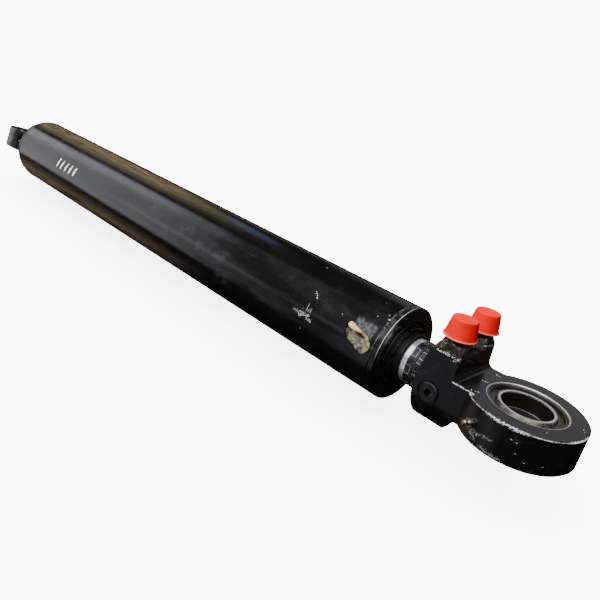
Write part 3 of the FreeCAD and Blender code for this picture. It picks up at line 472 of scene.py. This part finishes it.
def chrome(name, tint=(0.90, 0.90, 0.91), black_from=None):
    """Hard chrome. What lies forward of black_from, a tube's end face, is oily black."""
    s = Surface(name)
    mottle = s.noise(60.0, 4.0)
    rings = s.noise(1.0, 3.0, 0.6, s.stretched(1600.0, 25.0, 25.0))
    pits = s.ramp(s.noise(900.0, 2.0), 0.72, 0.76)
    colour = s.mix(s.ramp(rings, 0.45, 0.75, 0.0, 0.25), tint, (0.62, 0.62, 0.63))
    colour = s.mix(s.mul(pits, 0.6), colour, (0.10, 0.07, 0.05))
    rough = s.plus(s.ramp(mottle, 0.35, 0.7, 0.10, 0.20), s.mul(rings, 0.08), s.mul(pits, 0.4))
    metal = 0.82
    if black_from is not None:
        black = s.ramp(s.x, black_from - 0.0003, black_from)
        colour = s.mix(black, colour, (0.004, 0.004, 0.004))
        metal = s.ramp(black, 0.0, 1.0, metal, 0.0)
    return s.finish(colour, rough, s.plus(s.mul(rings, 0.3), s.mul(mottle, 0.3)), 0.00003, metal)


def red_plastic():
    s = Surface("cap_plastic")
    cloud = s.noise(60.0, 4.0)
    fine = s.noise(520.0, 4.0, 0.6)
    low = s.ramp(s.z, 0.0600, 0.0585)
    top = s.ramp(s.z, 0.0764, 0.0772)
    colour = s.mix(s.ramp(cloud, 0.35, 0.7), (0.66, 0.0020, 0.0010), (0.56, 0.0015, 0.0008))
    colour = s.mix(s.mul(top, s.ramp(cloud, 0.3, 0.65, 0.35, 0.7)), colour, (0.72, 0.024, 0.016))
    colour = s.mix(s.mul(low, 0.75), colour, (0.84, 0.11, 0.085))
    smear = s.mul(s.ramp(s.noise(95.0, 4.0, 0.65), 0.58, 0.72), 0.22)
    colour = s.mix(smear, colour, (0.30, 0.0025, 0.002))
    rough = s.plus(s.ramp(cloud, 0.3, 0.7, 0.36, 0.50), s.mul(fine, 0.08))
    return s.finish(colour, rough, s.plus(s.mul(fine, 0.3), s.mul(cloud, 0.5)), 0.00010,
                    subsurface_weight=0.12, subsurface_radius=(0.004, 0.0008, 0.0005),
                    specular_ior_level=0.10)


def weld_metal(name, dark, light, chalk=0.5):
    """Painted weld bead with pale scratches, bare metal along its toe, and a painted highlight along the toe
    at the front of the far stub.
    """
    s = Surface(name)
    lumps = s.noise(230.0, 5.0, 0.65)
    fine = s.noise(900.0, 4.0, 0.7)
    line = s.noise(1.0, 3.0, 0.55, s.stretched(240.0, 240.0, 110.0), 1.6)
    colour = s.mix(s.ramp(lumps, 0.46, 0.62), dark, light)
    colour = s.mix(s.mul(s.ramp(fine, 0.55, 0.66), 0.6), colour, (0.002, 0.0018, 0.0015))
    scratches = s.mul(s.band(line, 0.534, 0.544, 0.006), s.ramp(s.noise(120.0, 3.0), 0.46, 0.56))
    colour = s.mix(s.mul(scratches, chalk), colour, (0.78, 0.72, 0.54))
    # bare toe, and a painted highlight across the far stub's front
    toe_bare_and_highlight = s.most(s.spots(WELD_TOE, 1.3, 0.4, (0.7, 1.0, 1.3)),
                 s.mul(s.spots(FAR_TOE_HIGHLIGHT, 0.5, 0.4, (0.3, 0.3, 1.0)), 0.7))
    colour = s.mix(toe_bare_and_highlight, colour, BARE)
    rough = s.plus(s.ramp(fine, 0.3, 0.75, 0.20, 0.36), s.mul(toe_bare_and_highlight, 0.2))
    return s.finish(colour, rough, s.plus(s.mul(lumps, 0.8), s.mul(fine, 0.15)), 0.0008)


def rubber(name, colour):
    s = Surface(name)
    mottle = s.noise(260.0, 4.0)
    fine = s.noise(1200.0, 3.0)
    base = s.mix(s.ramp(mottle, 0.45, 0.75, 0.0, 0.12), colour, DUST)
    rough = s.ramp(mottle, 0.3, 0.7, 0.40, 0.60)
    return s.finish(base, rough, s.plus(s.mul(fine, 0.10), s.mul(mottle, 0.3)), 0.00006)


def brushed(name, colour, dark, rough):
    """Bare turned metal with fine tool marks."""
    s = Surface(name)
    marks = s.noise(1.0, 3.0, 0.6, s.stretched(1500.0, 40.0, 40.0))
    mottle = s.noise(90.0, 4.0)
    base = s.mix(s.ramp(marks, 0.35, 0.7), colour, dark)
    base = s.mix(s.mul(s.ramp(mottle, 0.5, 0.75), 0.4), base, (0.12, 0.09, 0.06))
    roughness = s.ramp(mottle, 0.3, 0.7, rough, rough + 0.15)
    return s.finish(base, roughness, s.plus(s.mul(marks, 0.5), s.mul(mottle, 0.3)), 0.00006, 1.0)


def sealant_finish():
    """Cream where the mesh says ridge, black painted shade where the filler sinks into its cleft, and
    grey-brown filler elsewhere.
    """
    s = Surface("sealant")
    lumps = s.noise(230.0, 5.0, 0.6)
    fine = s.noise(1100.0, 4.0, 0.65)
    ridge = s.add("ShaderNodeAttribute", attribute_name="ridge").outputs["Fac"]
    deep = s.add("ShaderNodeAttribute", attribute_name="deep").outputs["Fac"]
    filler = s.mix(s.ramp(lumps, 0.38, 0.60), (0.030, 0.026, 0.018), (0.145, 0.130, 0.102))
    filler = s.mix(s.mul(s.ramp(fine, 0.54, 0.66), 0.7), filler, (0.035, 0.030, 0.022))
    cream = s.mix(s.ramp(lumps, 0.44, 0.58), (0.24, 0.20, 0.095), (0.075, 0.062, 0.020))
    cream = s.mix(s.mul(s.ramp(fine, 0.54, 0.64), 0.5), cream, (0.40, 0.35, 0.23))
    behind = s.mul(s.ramp(s.x, 0.872, 0.862), s.ramp(lumps, 0.62, 0.46, 0.3, 1.0))
    cream = s.mix(s.mul(behind, 0.8), cream, (0.62, 0.47, 0.20))
    colour = s.mix(ridge, filler, cream)
    # painted shade: black down in the cleft
    colour = s.mix(deep, colour, (0.014, 0.011, 0.008))
    rough = s.ramp(lumps, 0.3, 0.7, 0.50, 0.75)
    return s.finish(colour, rough, s.plus(s.mul(fine, 0.4), s.mul(lumps, 0.6)), 0.0004)


def brush_paint():
    s = Surface("marker_paint")
    mottle = s.noise(300.0, 4.0)
    fine = s.noise(1300.0, 3.0)
    colour = s.mix(s.ramp(mottle, 0.4, 0.7), (0.95, 0.95, 0.95), (0.86, 0.86, 0.86))
    rough = s.ramp(mottle, 0.3, 0.7, 0.45, 0.6)
    return s.finish(colour, rough, s.plus(s.mul(fine, 0.4), s.mul(mottle, 0.4)), 0.0001)


SPRING = worn_steel("spring_steel", (0.16, 0.155, 0.14), (0.70, 0.69, 0.66), 0.28, 0.9,
                    stain=(0.08, 0.075, 0.06), speckle=0.15)
# black lubricant and painted recess shade round the rear eye's nipple
REAR_GREASE_AND_SHADE = [(29.6, -34.4, 7.3, 11.0)]
SLEEVE_END_X = 0.8962
FINISH = {
    "barrel_paint": barrel_paint(),
    "gland_paint": head_paint(),
    "eye_paint": plain_paint("eye_paint", 0.8, 0.0012, (0.50, 0.66), REAR_GREASE_AND_SHADE),
    "block_paint": block_paint(),
    "plug_paint": plain_paint("plug_paint", 0.12, 0.0005, (0.50, 0.70)),
    "weld_paint": weld_metal("weld_paint", (0.003, 0.0025, 0.0014), (0.022, 0.018, 0.006), 0.75),
    "stub_steel": weld_metal("stub_steel", (0.006, 0.005, 0.002), (0.040, 0.033, 0.011), 0.9),
    "bearing_steel": worn_steel("bearing_steel", (0.17, 0.165, 0.15), (0.62, 0.61, 0.57), 0.36, 0.8, 1300.0,
                                speckle=0.2),
    "spring_steel": SPRING,
    "zinc_plate": worn_steel("zinc_plate", (0.40, 0.39, 0.36), (0.80, 0.79, 0.77), 0.30, 0.5,
                             stain=(0.20, 0.19, 0.15)),
    "black_oxide": worn_steel("black_oxide", (0.05, 0.05, 0.05), (0.30, 0.30, 0.30), 0.45, 0.5),
    "sealant": sealant_finish(),
    "seal_rubber": rubber("seal_rubber", (0.012, 0.012, 0.012)),
    "wiper_plastic": rubber("wiper_plastic", (0.004, 0.004, 0.0045)),
    "guide_plastic": rubber("guide_plastic", (0.14, 0.10, 0.05)),
    "sleeve_chrome": chrome("sleeve_chrome", (0.74, 0.74, 0.75), SLEEVE_END_X),
    "rod_chrome": chrome("rod_chrome"),
    # bright edges: wear, and partly painted highlights
    "collar_steel": worn_steel("collar_steel", (0.030, 0.032, 0.030), (0.30, 0.31, 0.30), 0.24, 0.5, 700.0,
                               metal=0.8, stain=(0.012, 0.013, 0.012), speckle=0.03),
    "piston_iron": brushed("piston_iron", (0.30, 0.30, 0.30), (0.16, 0.16, 0.16), 0.35),
    "tube_steel": brushed("tube_steel", (0.46, 0.46, 0.46), (0.30, 0.30, 0.30), 0.30),
    # bright edges: wear, and partly painted glints
    "nut_steel": worn_steel("nut_steel", (0.020, 0.020, 0.024), (0.80, 0.80, 0.80), 0.22, 0.8, 800.0, 0.0011,
                            metal=0.7, stain=(0.035, 0.035, 0.040), speckle=0.05),
    "cap_plastic": red_plastic(),
}
SPECIAL = {"rod_bearing_inner": bearing_ring()}

slot_of = {part["node"]: part["material_slot"] for part in frame["record"]["subparts"]}
for name, obj in nodes.items():
    finish = SPECIAL.get(name, FINISH[slot_of[name]])
    obj.data.materials.clear()
    obj.data.materials.append(finish)


# ---------------------------------------------------------------- added pieces

def new_piece(name, bm, body, finish, replaces=()):
    mesh = bpy.data.meshes.new(name)
    bmesh.ops.recalc_face_normals(bm, faces=bm.faces)
    bm.to_mesh(mesh)
    bm.free()
    for polygon in mesh.polygons:
        polygon.use_smooth = True
    obj = bpy.data.objects.new(name, mesh)
    bpy.context.scene.collection.objects.link(obj)
    mesh.materials.append(finish)
    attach(obj, body)
    if replaces:
        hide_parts(*replaces)


def lathe(profile, centre, segments, wobble):
    """Closed solid turned about a line along Z through centre, from (radius, z) in millimetres.

    wobble takes radius, z and turn and gives back the radius and z that the point gets.
    """
    bm = bmesh.new()
    rings = []
    for radius, z in profile:
        if radius < 1e-6:
            rings.append([bm.verts.new((centre[0] * MM, centre[1] * MM, z * MM))])
            continue
        ring = []
        for i in range(segments):
            turn = 2 * math.pi * i / segments
            r, h = wobble(radius, z, turn)
            ring.append(bm.verts.new(((centre[0] + r * math.cos(turn)) * MM,
                                      (centre[1] + r * math.sin(turn)) * MM, h * MM)))
        rings.append(ring)
    for a, b in zip(rings, rings[1:]):
        for i in range(segments):
            j = (i + 1) % segments
            if len(a) == 1 and len(b) == 1:
                continue
            if len(a) == 1:
                bm.faces.new((a[0], b[i], b[j]))
            elif len(b) == 1:
                bm.faces.new((a[i], a[j], b[0]))
            else:
                bm.faces.new((a[i], a[j], b[j], b[i]))
    return bm


def arc_points(cx, cz, radius, start, end, steps):
    """Points on an arc, angles in degrees."""
    turns = [math.radians(start + (end - start) * i / steps) for i in range(steps + 1)]
    return [(cx + radius * math.cos(t), cz + radius * math.sin(t)) for t in turns]


def port_cap(name, body, node, centre, seed):
    """Moulded cap: tapered wall, rolled rim, rounded top with a shallow sink mark."""
    outer = [(14.3, 57.6), (16.4, 57.55)]
    outer += arc_points(16.1, 58.35, 0.78, -80, 80, 6)
    outer += [(15.75, 59.35), (15.62, 60.0), (15.0, 64.0), (14.1, 69.0), (13.2, 74.0)]
    outer += arc_points(11.4, 76.0, 1.45, 10, 90, 6)
    outer += [(9.0, 77.42), (6.0, 77.3), (3.0, 77.12), (0.0, 77.05)]
    inner = [(0.0, 75.2), (6.0, 75.3), (10.4, 75.2), (10.9, 74.4), (12.5, 66.0), (14.0, 59.5), (14.3, 57.6)]

    def wobble(radius, z, turn):
        swing = noise.noise((math.cos(turn) * 1.1 + seed, math.sin(turn) * 1.1, z * 0.05))
        sag = noise.noise((math.cos(turn) * 0.8, math.sin(turn) * 0.8 + seed, radius * 0.2))
        return radius * (1 + 0.006 * swing), z + 0.12 * sag * (radius / 16)

    bm = lathe(outer + inner, centre, 120, wobble)
    bmesh.ops.remove_doubles(bm, verts=bm.verts, dist=0.01 * MM)
    new_piece(name, bm, body, FINISH["cap_plastic"], (node,))


port_cap("near_cap_moulding", "near_cap", "near_port_cap", (PORT_X, NEAR_PORT_Y), 3.1)
port_cap("far_cap_moulding", "far_cap", "far_port_cap", (PORT_X, FAR_PORT_Y), 8.7)

WELD_FOOT_Z = 40.2
WELD_HEIGHT = 12.6
STUB_R = 12.4
WELD_HALF_Y = 38.5            # the beads are cut off here and at both ends of WELD_X
WELD_X = (944.2, 973.4)


def port_weld(port_y, seed):
    """Lumpy bead with ripples, flowing out to the edges of the block."""
    profile = [(12.1, 41.0), (17.6, WELD_FOOT_Z), (17.9, 41.0), (17.3, 42.8), (16.4, 45.2), (15.4, 47.4),
               (14.5, 49.4), (13.7, 51.2), (13.0, 52.4), (12.1, WELD_FOOT_Z + WELD_HEIGHT)]

    def wobble(radius, z, turn):
        share = (z - WELD_FOOT_Z) / WELD_HEIGHT
        spot = (math.cos(turn) * 2.6 + seed, math.sin(turn) * 2.6, z * 0.10)
        lump = noise.noise(spot) * 1.2 + noise.noise((spot[0] * 3, spot[1] * 3, z * 0.35)) * 0.55
        ripple = 0.28 * math.sin(turn * 31 + 2.2 * share + 1.5 * noise.noise((spot[0], spot[1], 0.0)))
        grow = (lump + ripple) * math.sin(math.pi * min(1.0, max(0.0, share * 0.85 + 0.1)))
        wide = radius + grow if radius > STUB_R else radius
        high = z + (0.4 * lump if 0.2 < share < 0.95 else 0.0)
        return wide, high

    bm = lathe(profile + [profile[0]], (PORT_X, port_y), 160, wobble)
    bmesh.ops.remove_doubles(bm, verts=bm.verts, dist=0.005 * MM)
    for vert in bm.verts:
        vert.co.y = max(-WELD_HALF_Y * MM, min(WELD_HALF_Y * MM, vert.co.y))
        vert.co.x = max(WELD_X[0] * MM, min(WELD_X[1] * MM, vert.co.x))
    return bm


def join(pieces):
    """One mesh from several, which are used up."""
    whole = bmesh.new()
    for bm in pieces:
        mesh = bpy.data.meshes.new("part")
        bm.to_mesh(mesh)
        whole.from_mesh(mesh)
        bpy.data.meshes.remove(mesh)
        bm.free()
    return whole


new_piece("port_weld_beads", join([port_weld(NEAR_PORT_Y, 1.7), port_weld(FAR_PORT_Y, 6.4)]), "rod_assembly",
          FINISH["weld_paint"], ("port_stub_welds",))


def close_sheet(bm, rows, ends=True):
    """Faces over, under and round rows of (top, foot) points, so that they hold a volume.

    ends=False is for rows that are already drawn together at both ends.
    """
    last = len(rows[0]) - 1
    for first, second in zip(rows, rows[1:]):
        for j in range(last):
            a, b, c, d = first[j], second[j], second[j + 1], first[j + 1]
            bm.faces.new((a[0], b[0], c[0], d[0]))
            bm.faces.new((d[1], c[1], b[1], a[1]))
        for j in (0, last):
            a, b = first[j], second[j]
            bm.faces.new((a[0], a[1], b[1], b[0]))
    if ends:
        for row in (rows[0], rows[-1]):
            for a, b in zip(row, row[1:]):
                bm.faces.new((a[0], b[0], b[1], a[1]))


# ---- sealant in the lock pocket, in millimetres ----
POCKET_X = 867.0
POCKET_TILT = math.radians(74.5)
POCKET_SLANT = math.radians(-22.0)
POCKET_LENGTH = 36.0
POCKET_WIDTH = 17.0
POCKET_FLOOR_R = 48.5
STRIP_DEPTH = 0.9


def pocket_place(u, v, radius):
    """Point in the pocket: u along it, v across it, at a height over the barrel's axis."""
    x = u * math.cos(POCKET_SLANT) - v * math.sin(POCKET_SLANT)
    y = u * math.sin(POCKET_SLANT) + v * math.cos(POCKET_SLANT)
    return Vector(((POCKET_X + x) * MM,
                   (y * math.cos(POCKET_TILT) - radius * math.sin(POCKET_TILT)) * MM,
                   (y * math.sin(POCKET_TILT) + radius * math.cos(POCKET_TILT)) * MM))


def skin_height(u, v):
    """Height over the axis at which the barrel's surface passes a point of the pocket."""
    sideways = u * math.sin(POCKET_SLANT) + v * math.cos(POCKET_SLANT)
    return math.sqrt(max(0.0, (BARREL_R / MM) ** 2 - sideways ** 2))


# centre line of the raised strip (u, v) and its half width, from the rear end round the forward end
STRIP = [(-19.0, 4.3, 3.2), (-13.0, 5.0, 3.0), (-6.5, 6.5, 2.2), (-0.5, 8.6, 1.4), (5.0, 9.1, 1.5),
         (9.6, 8.4, 2.0), (13.6, 6.2, 2.4), (15.6, 2.6, 2.6), (15.6, -1.2, 2.5), (14.2, -4.4, 2.0)]


def strip_at(share):
    """Centre, direction and half width of the strip, share running from 0 to 1."""
    place = share * (len(STRIP) - 1)
    i = min(int(place), len(STRIP) - 2)
    t = place - i
    before, a, b, after = STRIP[max(i - 1, 0)], STRIP[i], STRIP[i + 1], STRIP[min(i + 2, len(STRIP) - 1)]

    def curve(k):
        slope_a, slope_b = (b[k] - before[k]) / 2, (after[k] - a[k]) / 2
        return ((2 * t ** 3 - 3 * t ** 2 + 1) * a[k] + (t ** 3 - 2 * t ** 2 + t) * slope_a
                + (3 * t ** 2 - 2 * t ** 3) * b[k] + (t ** 3 - t ** 2) * slope_b)

    along = Vector((b[0] - a[0], b[1] - a[1])).normalized()
    return curve(0), curve(1), curve(2), along


def strip_mesh():
    """Ribbon of sealant standing a little proud of the barrel."""
    bm = bmesh.new()
    ridge_layer = bm.verts.layers.float.new("ridge")
    cleft_shade_layer = bm.verts.layers.float.new("deep")
    steps, across = 90, 10
    rows = []
    for i in range(steps + 1):
        share = i / steps
        u, v, half, along = strip_at(share)
        end = min(share, 1 - share) * steps / 5
        half *= math.sqrt(min(1.0, 0.15 + end)) * (1 + 0.34 * noise.noise((share * 11, 1.0, 5.0)))
        row = []
        for j in range(across + 1):
            t = -1 + 2 * j / across
            ragged = 0.60 * noise.noise((share * 34, t * 2.0, 9.0)) if abs(t) > 0.5 else 0.0
            pu = u - along.y * (t * half + ragged)
            pv = v + along.x * (t * half + ragged)
            crumb = 0.45 * noise.noise((pu * 0.9, pv * 0.9, 3.0))
            crumb += 0.30 * noise.noise((pu * 2.2, pv * 2.2, 8.0))
            skin = skin_height(pu, pv)
            lift = 0.95 * (1 - t * t) ** 0.6 * min(1.0, 0.3 + end) + crumb * (1 - abs(t))
            top = bm.verts.new(pocket_place(pu, pv, skin + lift - 0.08))
            foot = bm.verts.new(pocket_place(pu, pv, skin - STRIP_DEPTH))
            top[ridge_layer] = 1.0
            foot[ridge_layer] = 1.0
            top[cleft_shade_layer] = foot[cleft_shade_layer] = 0.0
            row.append((top, foot))
        rows.append(row)
    close_sheet(bm, rows)
    return bm


def filler_mesh():
    """Flaky filler in the pocket, sunk under the strip and open in a cleft, marked for painted shade where
    it sinks.
    """
    steps_u, steps_v = 110, 52
    bm = bmesh.new()
    ridge_layer = bm.verts.layers.float.new("ridge")
    cleft_shade_layer = bm.verts.layers.float.new("deep")
    reach = (POCKET_LENGTH - POCKET_WIDTH) / 2
    half = POCKET_WIDTH / 2 - 0.1
    rows = []
    for i in range(steps_u + 1):
        u = (-1 + 2 * i / steps_u) * (reach + half)
        edge = half if abs(u) <= reach else math.sqrt(max(0.0, half ** 2 - (abs(u) - reach) ** 2))
        row = []
        for j in range(steps_v + 1):
            v = edge * (-1 + 2 * j / steps_v)
            rough = noise.noise((u * 0.35, v * 0.35, 2.0))
            crumb = noise.noise((u * 1.1, v * 1.1, 7.0)) * 0.6 + noise.noise((u * 2.3, v * 2.3, 4.0)) * 0.35
            pit = math.exp(-(((u + 0.2) / 5.2) ** 2 + ((v - 5.0 - 0.26 * u) / 2.8) ** 2))
            rear = max(0.0, min(1.0, (-10.5 - u + 1.6 * rough - 0.2 * v) / 1.6)) if v < 3.5 else 0.0
            lower = max(0.0, min(1.0, (-7.8 - v + 0.9 * rough) / 0.5)) if u < 4 else 0.0
            # painted shade, the blacker the deeper the filler sinks
            deep = max(0.0, min(1.0, 2.2 * pit - 0.3 + rear + 0.8 * lower))
            skin = skin_height(u, v)
            top = skin - 0.75 + 0.45 * rough + 0.40 * crumb - 3.6 * pit - 1.2 * rear - 0.5 * lower
            top = max(POCKET_FLOOR_R + 0.1, min(top, skin - 0.12))
            vert = bm.verts.new(pocket_place(u, v, top))
            vert[ridge_layer] = 0.0
            vert[cleft_shade_layer] = deep
            foot = bm.verts.new(pocket_place(u, v, POCKET_FLOOR_R - 0.05))
            row.append((vert, foot))
        rows.append(row)
    close_sheet(bm, rows, ends=False)
    bmesh.ops.remove_doubles(bm, verts=bm.verts, dist=0.01 * MM)
    return bm


new_piece("pocket_filler", join([filler_mesh(), strip_mesh()]), "barrel", FINISH["sealant"],
          ("pocket_sealant",))


# ---- brush strokes near the rear of the barrel ----

STROKE_RIM = 0.05             # height of the paint at its edges, and how much more in the middle
STROKE_CROWN = 0.16
STROKE_SINK = 0.1


def on_barrel(x, angle, lift):
    """Point on the barrel's skin. The angle runs from -Y up over the top."""
    turn = math.radians(angle)
    radius = BARREL_R + lift
    return Vector((x, -radius * math.cos(turn), radius * math.sin(turn)))


def brush_stroke(bm, start, end, width, seed):
    """Flat, slightly ragged dab of paint from start to end, each (x in mm, angle)."""
    steps = 26
    across = 6
    rows = []
    for i in range(steps + 1):
        t = i / steps
        x = start[0] + (end[0] - start[0]) * t + 1.1 * noise.noise((t * 2.2, seed, 0.0))
        angle = start[1] + (end[1] - start[1]) * t
        swell = math.sqrt(max(0.02, math.sin(math.pi * (0.06 + 0.88 * t))))
        half = width / 2 * swell * (0.85 + 0.35 * noise.noise((t * 4.0, seed, 3.0)))
        row = []
        for j in range(across + 1):
            side = -1 + 2 * j / across
            ragged = 0.25 * noise.noise((t * 18.0, side * 2.0, seed)) if abs(side) == 1 else 0.0
            lift = (STROKE_RIM + STROKE_CROWN * (1 - side * side)) * MM
            place = (x + side * half + ragged) * MM
            row.append((bm.verts.new(on_barrel(place, angle, lift)),
                        bm.verts.new(on_barrel(place, angle, -STROKE_SINK * MM))))
        rows.append(row)
    close_sheet(bm, rows)


# start and end as (x in mm, angle), and the width in mm
STROKES = [((211, 27), (205, 9), 4.6), ((224, 26), (218, 9), 5.0), ((238, 25), (232, 9), 5.2),
           ((252, 25), (246, 9), 5.2), ((266, 25), (260, 9), 5.4)]
strokes = bmesh.new()
for number, (start, end, width) in enumerate(STROKES):
    brush_stroke(strokes, start, end, width, 2.0 + 1.7 * number)
new_piece("paint_strokes", strokes, "barrel", brush_paint())


# ---------------------------------------------------------------- stage, light, camera

FLOOR_Z = -0.075
FLOOR_R = 28.0
BACKDROP_R = 27.0
STAGE_X = 0.5
FLOOR_GLOW = 8.4
BACKDROP_GLOW = 9.8


def backdrop_finish():
    s = Surface("backdrop")
    s.shader.inputs["Emission Color"].default_value = (1, 1, 1, 1)
    return s.finish((0.0, 0.0, 0.0), 1.0, emission_strength=BACKDROP_GLOW, specular_ior_level=0.0)


def floor_finish():
    """White glowing floor with a painted contact shadow: its glow dims a little under the object."""
    s = Surface("floor")
    cloud = s.noise(1.5, 2.0)
    # painted shadow: ambient occlusion dims the glow under the object
    shade = s.add("ShaderNodeAmbientOcclusion", samples=8)
    shade.inputs["Distance"].default_value = 0.22
    glow = s.ramp(shade.outputs["AO"], 0.35, 1.0, 0.62, 1.0)
    shadowed_glow = s.mix(glow, (0.0, 0.0, 0.0), (1.0, 1.0, 1.0))
    s.feed(s.shader.inputs["Emission Color"], shadowed_glow)
    colour = s.mix(cloud, (0.9, 0.9, 0.9), (0.87, 0.87, 0.87))
    return s.finish(colour, 0.95, emission_strength=FLOOR_GLOW, specular_ior_level=0.0)


def stage_piece(name, bm, material, place):
    """Piece of the studio that the camera sees, and that neither lights the object nor mirrors in it."""
    mesh = bpy.data.meshes.new(name)
    bm.to_mesh(mesh)
    bm.free()
    mesh.materials.append(material)
    obj = bpy.data.objects.new(name, mesh)
    obj.location = place
    obj.visible_glossy = False
    obj.visible_diffuse = False
    bpy.context.scene.collection.objects.link(obj)
    return obj


def add_floor():
    disc = bmesh.new()
    bmesh.ops.create_circle(disc, cap_ends=True, segments=96, radius=FLOOR_R)
    stage_piece("floor", disc, floor_finish(), (STAGE_X, 0.0, FLOOR_Z))
    dome = bmesh.new()
    bmesh.ops.create_uvsphere(dome, u_segments=64, v_segments=32, radius=BACKDROP_R)
    backdrop = stage_piece("backdrop", dome, backdrop_finish(), (STAGE_X, 0.0, 0.0))
    backdrop.visible_shadow = False


UP = (0, 0, 1)
NEAR = (0, -1, 0)
FAR = (0, 1, 0)
REAR = (-1, 0, 0)
HORIZON = ((0.673, 0, 0.740), -0.82, -0.755)    # leaves out what lies down and to the rear

# Patches of reflected surroundings: (cuts, colour). A cut is (axis, cosine where the patch is dark,
# cosine where it is full), and a patch keeps what all its cuts let through.
SKY = [
    # near side: broad wall of light, its upper part, a line on the horizon, a faint part to the rear
    ([(NEAR, 0.02, 0.16), HORIZON, (REAR, 0.66, 0.80)], (1.12, 1.14, 1.17)),
    ([(NEAR, 0.02, 0.11), (NEAR, 0.42, 0.26), (UP, 0.28, 0.40), (REAR, 0.62, 0.84)], (0.70, 0.72, 0.73)),
    ([(UP, -0.05, 0.02), (UP, 0.14, 0.08), (NEAR, 0.52, 0.64)], (0.50, 0.51, 0.53)),
    ([(NEAR, 0.02, 0.16), HORIZON, (REAR, 0.30, 0.50)], (0.28, 0.28, 0.29)),
    # bright wall seen by the head, the chrome and the nut
    ([(NEAR, -0.10, 0.15), (UP, 0.28, 0.60), (REAR, 0.468, 0.432)], (2.60, 2.62, 2.66)),
    # far side: warm patches high up and a faint low strip
    ([((-0.83, 0.34, 0.44), 0.952, 0.990)], (0.52, 0.46, 0.31)),
    ([((-0.88, 0.16, 0.44), 0.90, 0.97), (FAR, 0.02, 0.10)], (0.22, 0.19, 0.12)),
    ([(FAR, 0.3, 0.5), (UP, 0.02, 0.12), (UP, 0.36, 0.27)], (0.15, 0.13, 0.10)),
    # brown ground under the near side
    ([((-0.86, -0.14, -0.48), 0.958, 0.990)], (0.25, 0.20, 0.12)),
    ([((-0.86, 0.06, -0.50), 0.955, 0.99)], (0.13, 0.10, 0.07)),
    # what the rod end sees: grey overhead, a darker grey low in front, olive low beyond
    ([((-0.19, 0.87, 0.46), 0.90, 0.98)], (0.37, 0.37, 0.39)),
    ([((-0.36, -0.83, -0.40), 0.955, 0.99)], (0.22, 0.22, 0.26)),
    ([((0.385, 0.865, -0.335), 0.9952, 0.9985)], (0.070, 0.046, 0.011)),
]
DIMMEST = (0.012, 0.011, 0.010)

KEY_STRENGTH = 6.0
KEY_SPREAD = math.radians(55)
KEY_FROM = (-0.25, -0.60, 0.76)

# camera, found from the photo's perspective; its place is in barrel radii from the rod eye
CAMERA_LENS = 36.06
CAMERA_SENSOR = 36.0
CAMERA_REACH = 60.0
CAMERA_VIEW = (-0.58619639, 0.72549511, -0.36059762)
CAMERA_UP = (-0.40569128, 0.12240754, 0.90577645)
CAMERA_PLACE = (2.5732, -9.9098, 4.8235)


def add_world():
    """Adds the patches of SKY on to a nearly black world."""
    world = bpy.data.worlds.new("studio")
    bpy.context.scene.world = world
    world.use_nodes = True
    tree = world.node_tree

    def vector_node(operation, first, second=None):
        node = tree.nodes.new("ShaderNodeVectorMath")
        node.operation = operation
        for socket, value in zip(node.inputs, (first, second)):
            if isinstance(value, bpy.types.NodeSocket):
                tree.links.new(value, socket)
            elif value is not None:
                socket.default_value = value
        return node

    where = tree.nodes.new("ShaderNodeTexCoord").outputs["Generated"]
    total = DIMMEST
    for cuts, colour in SKY:
        patch = colour
        for axis, dark, full in cuts:
            dot = vector_node("DOT_PRODUCT", where, Vector(axis).normalized()).outputs["Value"]
            step = tree.nodes.new("ShaderNodeMapRange")
            step.interpolation_type = "SMOOTHSTEP"
            tree.links.new(dot, step.inputs["Value"])
            step.inputs["From Min"].default_value = min(dark, full)
            step.inputs["From Max"].default_value = max(dark, full)
            step.inputs["To Min"].default_value = 0.0 if dark < full else 1.0
            step.inputs["To Max"].default_value = 1.0 if dark < full else 0.0
            scaled = vector_node("SCALE", patch)
            tree.links.new(step.outputs[0], scaled.inputs["Scale"])
            patch = scaled.outputs[0]
        total = vector_node("ADD", total, patch).outputs[0]
    tree.links.new(total, tree.nodes["Background"].inputs["Color"])


def add_key():
    """One broad soft light from over the near left shoulder."""
    light = bpy.data.lights.new("key", "SUN")
    light.energy = KEY_STRENGTH
    light.angle = KEY_SPREAD
    obj = bpy.data.objects.new("key", light)
    obj.rotation_euler = Vector(KEY_FROM).to_track_quat("Z", "Y").to_euler()
    obj.visible_glossy = False
    bpy.context.scene.collection.objects.link(obj)


def add_camera():
    cam = bpy.data.cameras.new("photo_camera")
    cam.lens = CAMERA_LENS
    cam.sensor_width = CAMERA_SENSOR
    cam.clip_end = CAMERA_REACH
    obj = bpy.data.objects.new("photo_camera", cam)
    bpy.context.scene.collection.objects.link(obj)
    view = Vector(CAMERA_VIEW).normalized()
    right = view.cross(Vector(CAMERA_UP)).normalized()
    turn = Matrix((right, right.cross(view), -view)).transposed().to_4x4()
    x, y, z = (BARREL_R * radii for radii in CAMERA_PLACE)
    turn.translation = Vector((ROD_EYE_X + x, y, z))
    obj.matrix_world = turn
    bpy.context.scene.camera = obj


add_floor()
add_world()
add_key()
add_camera()
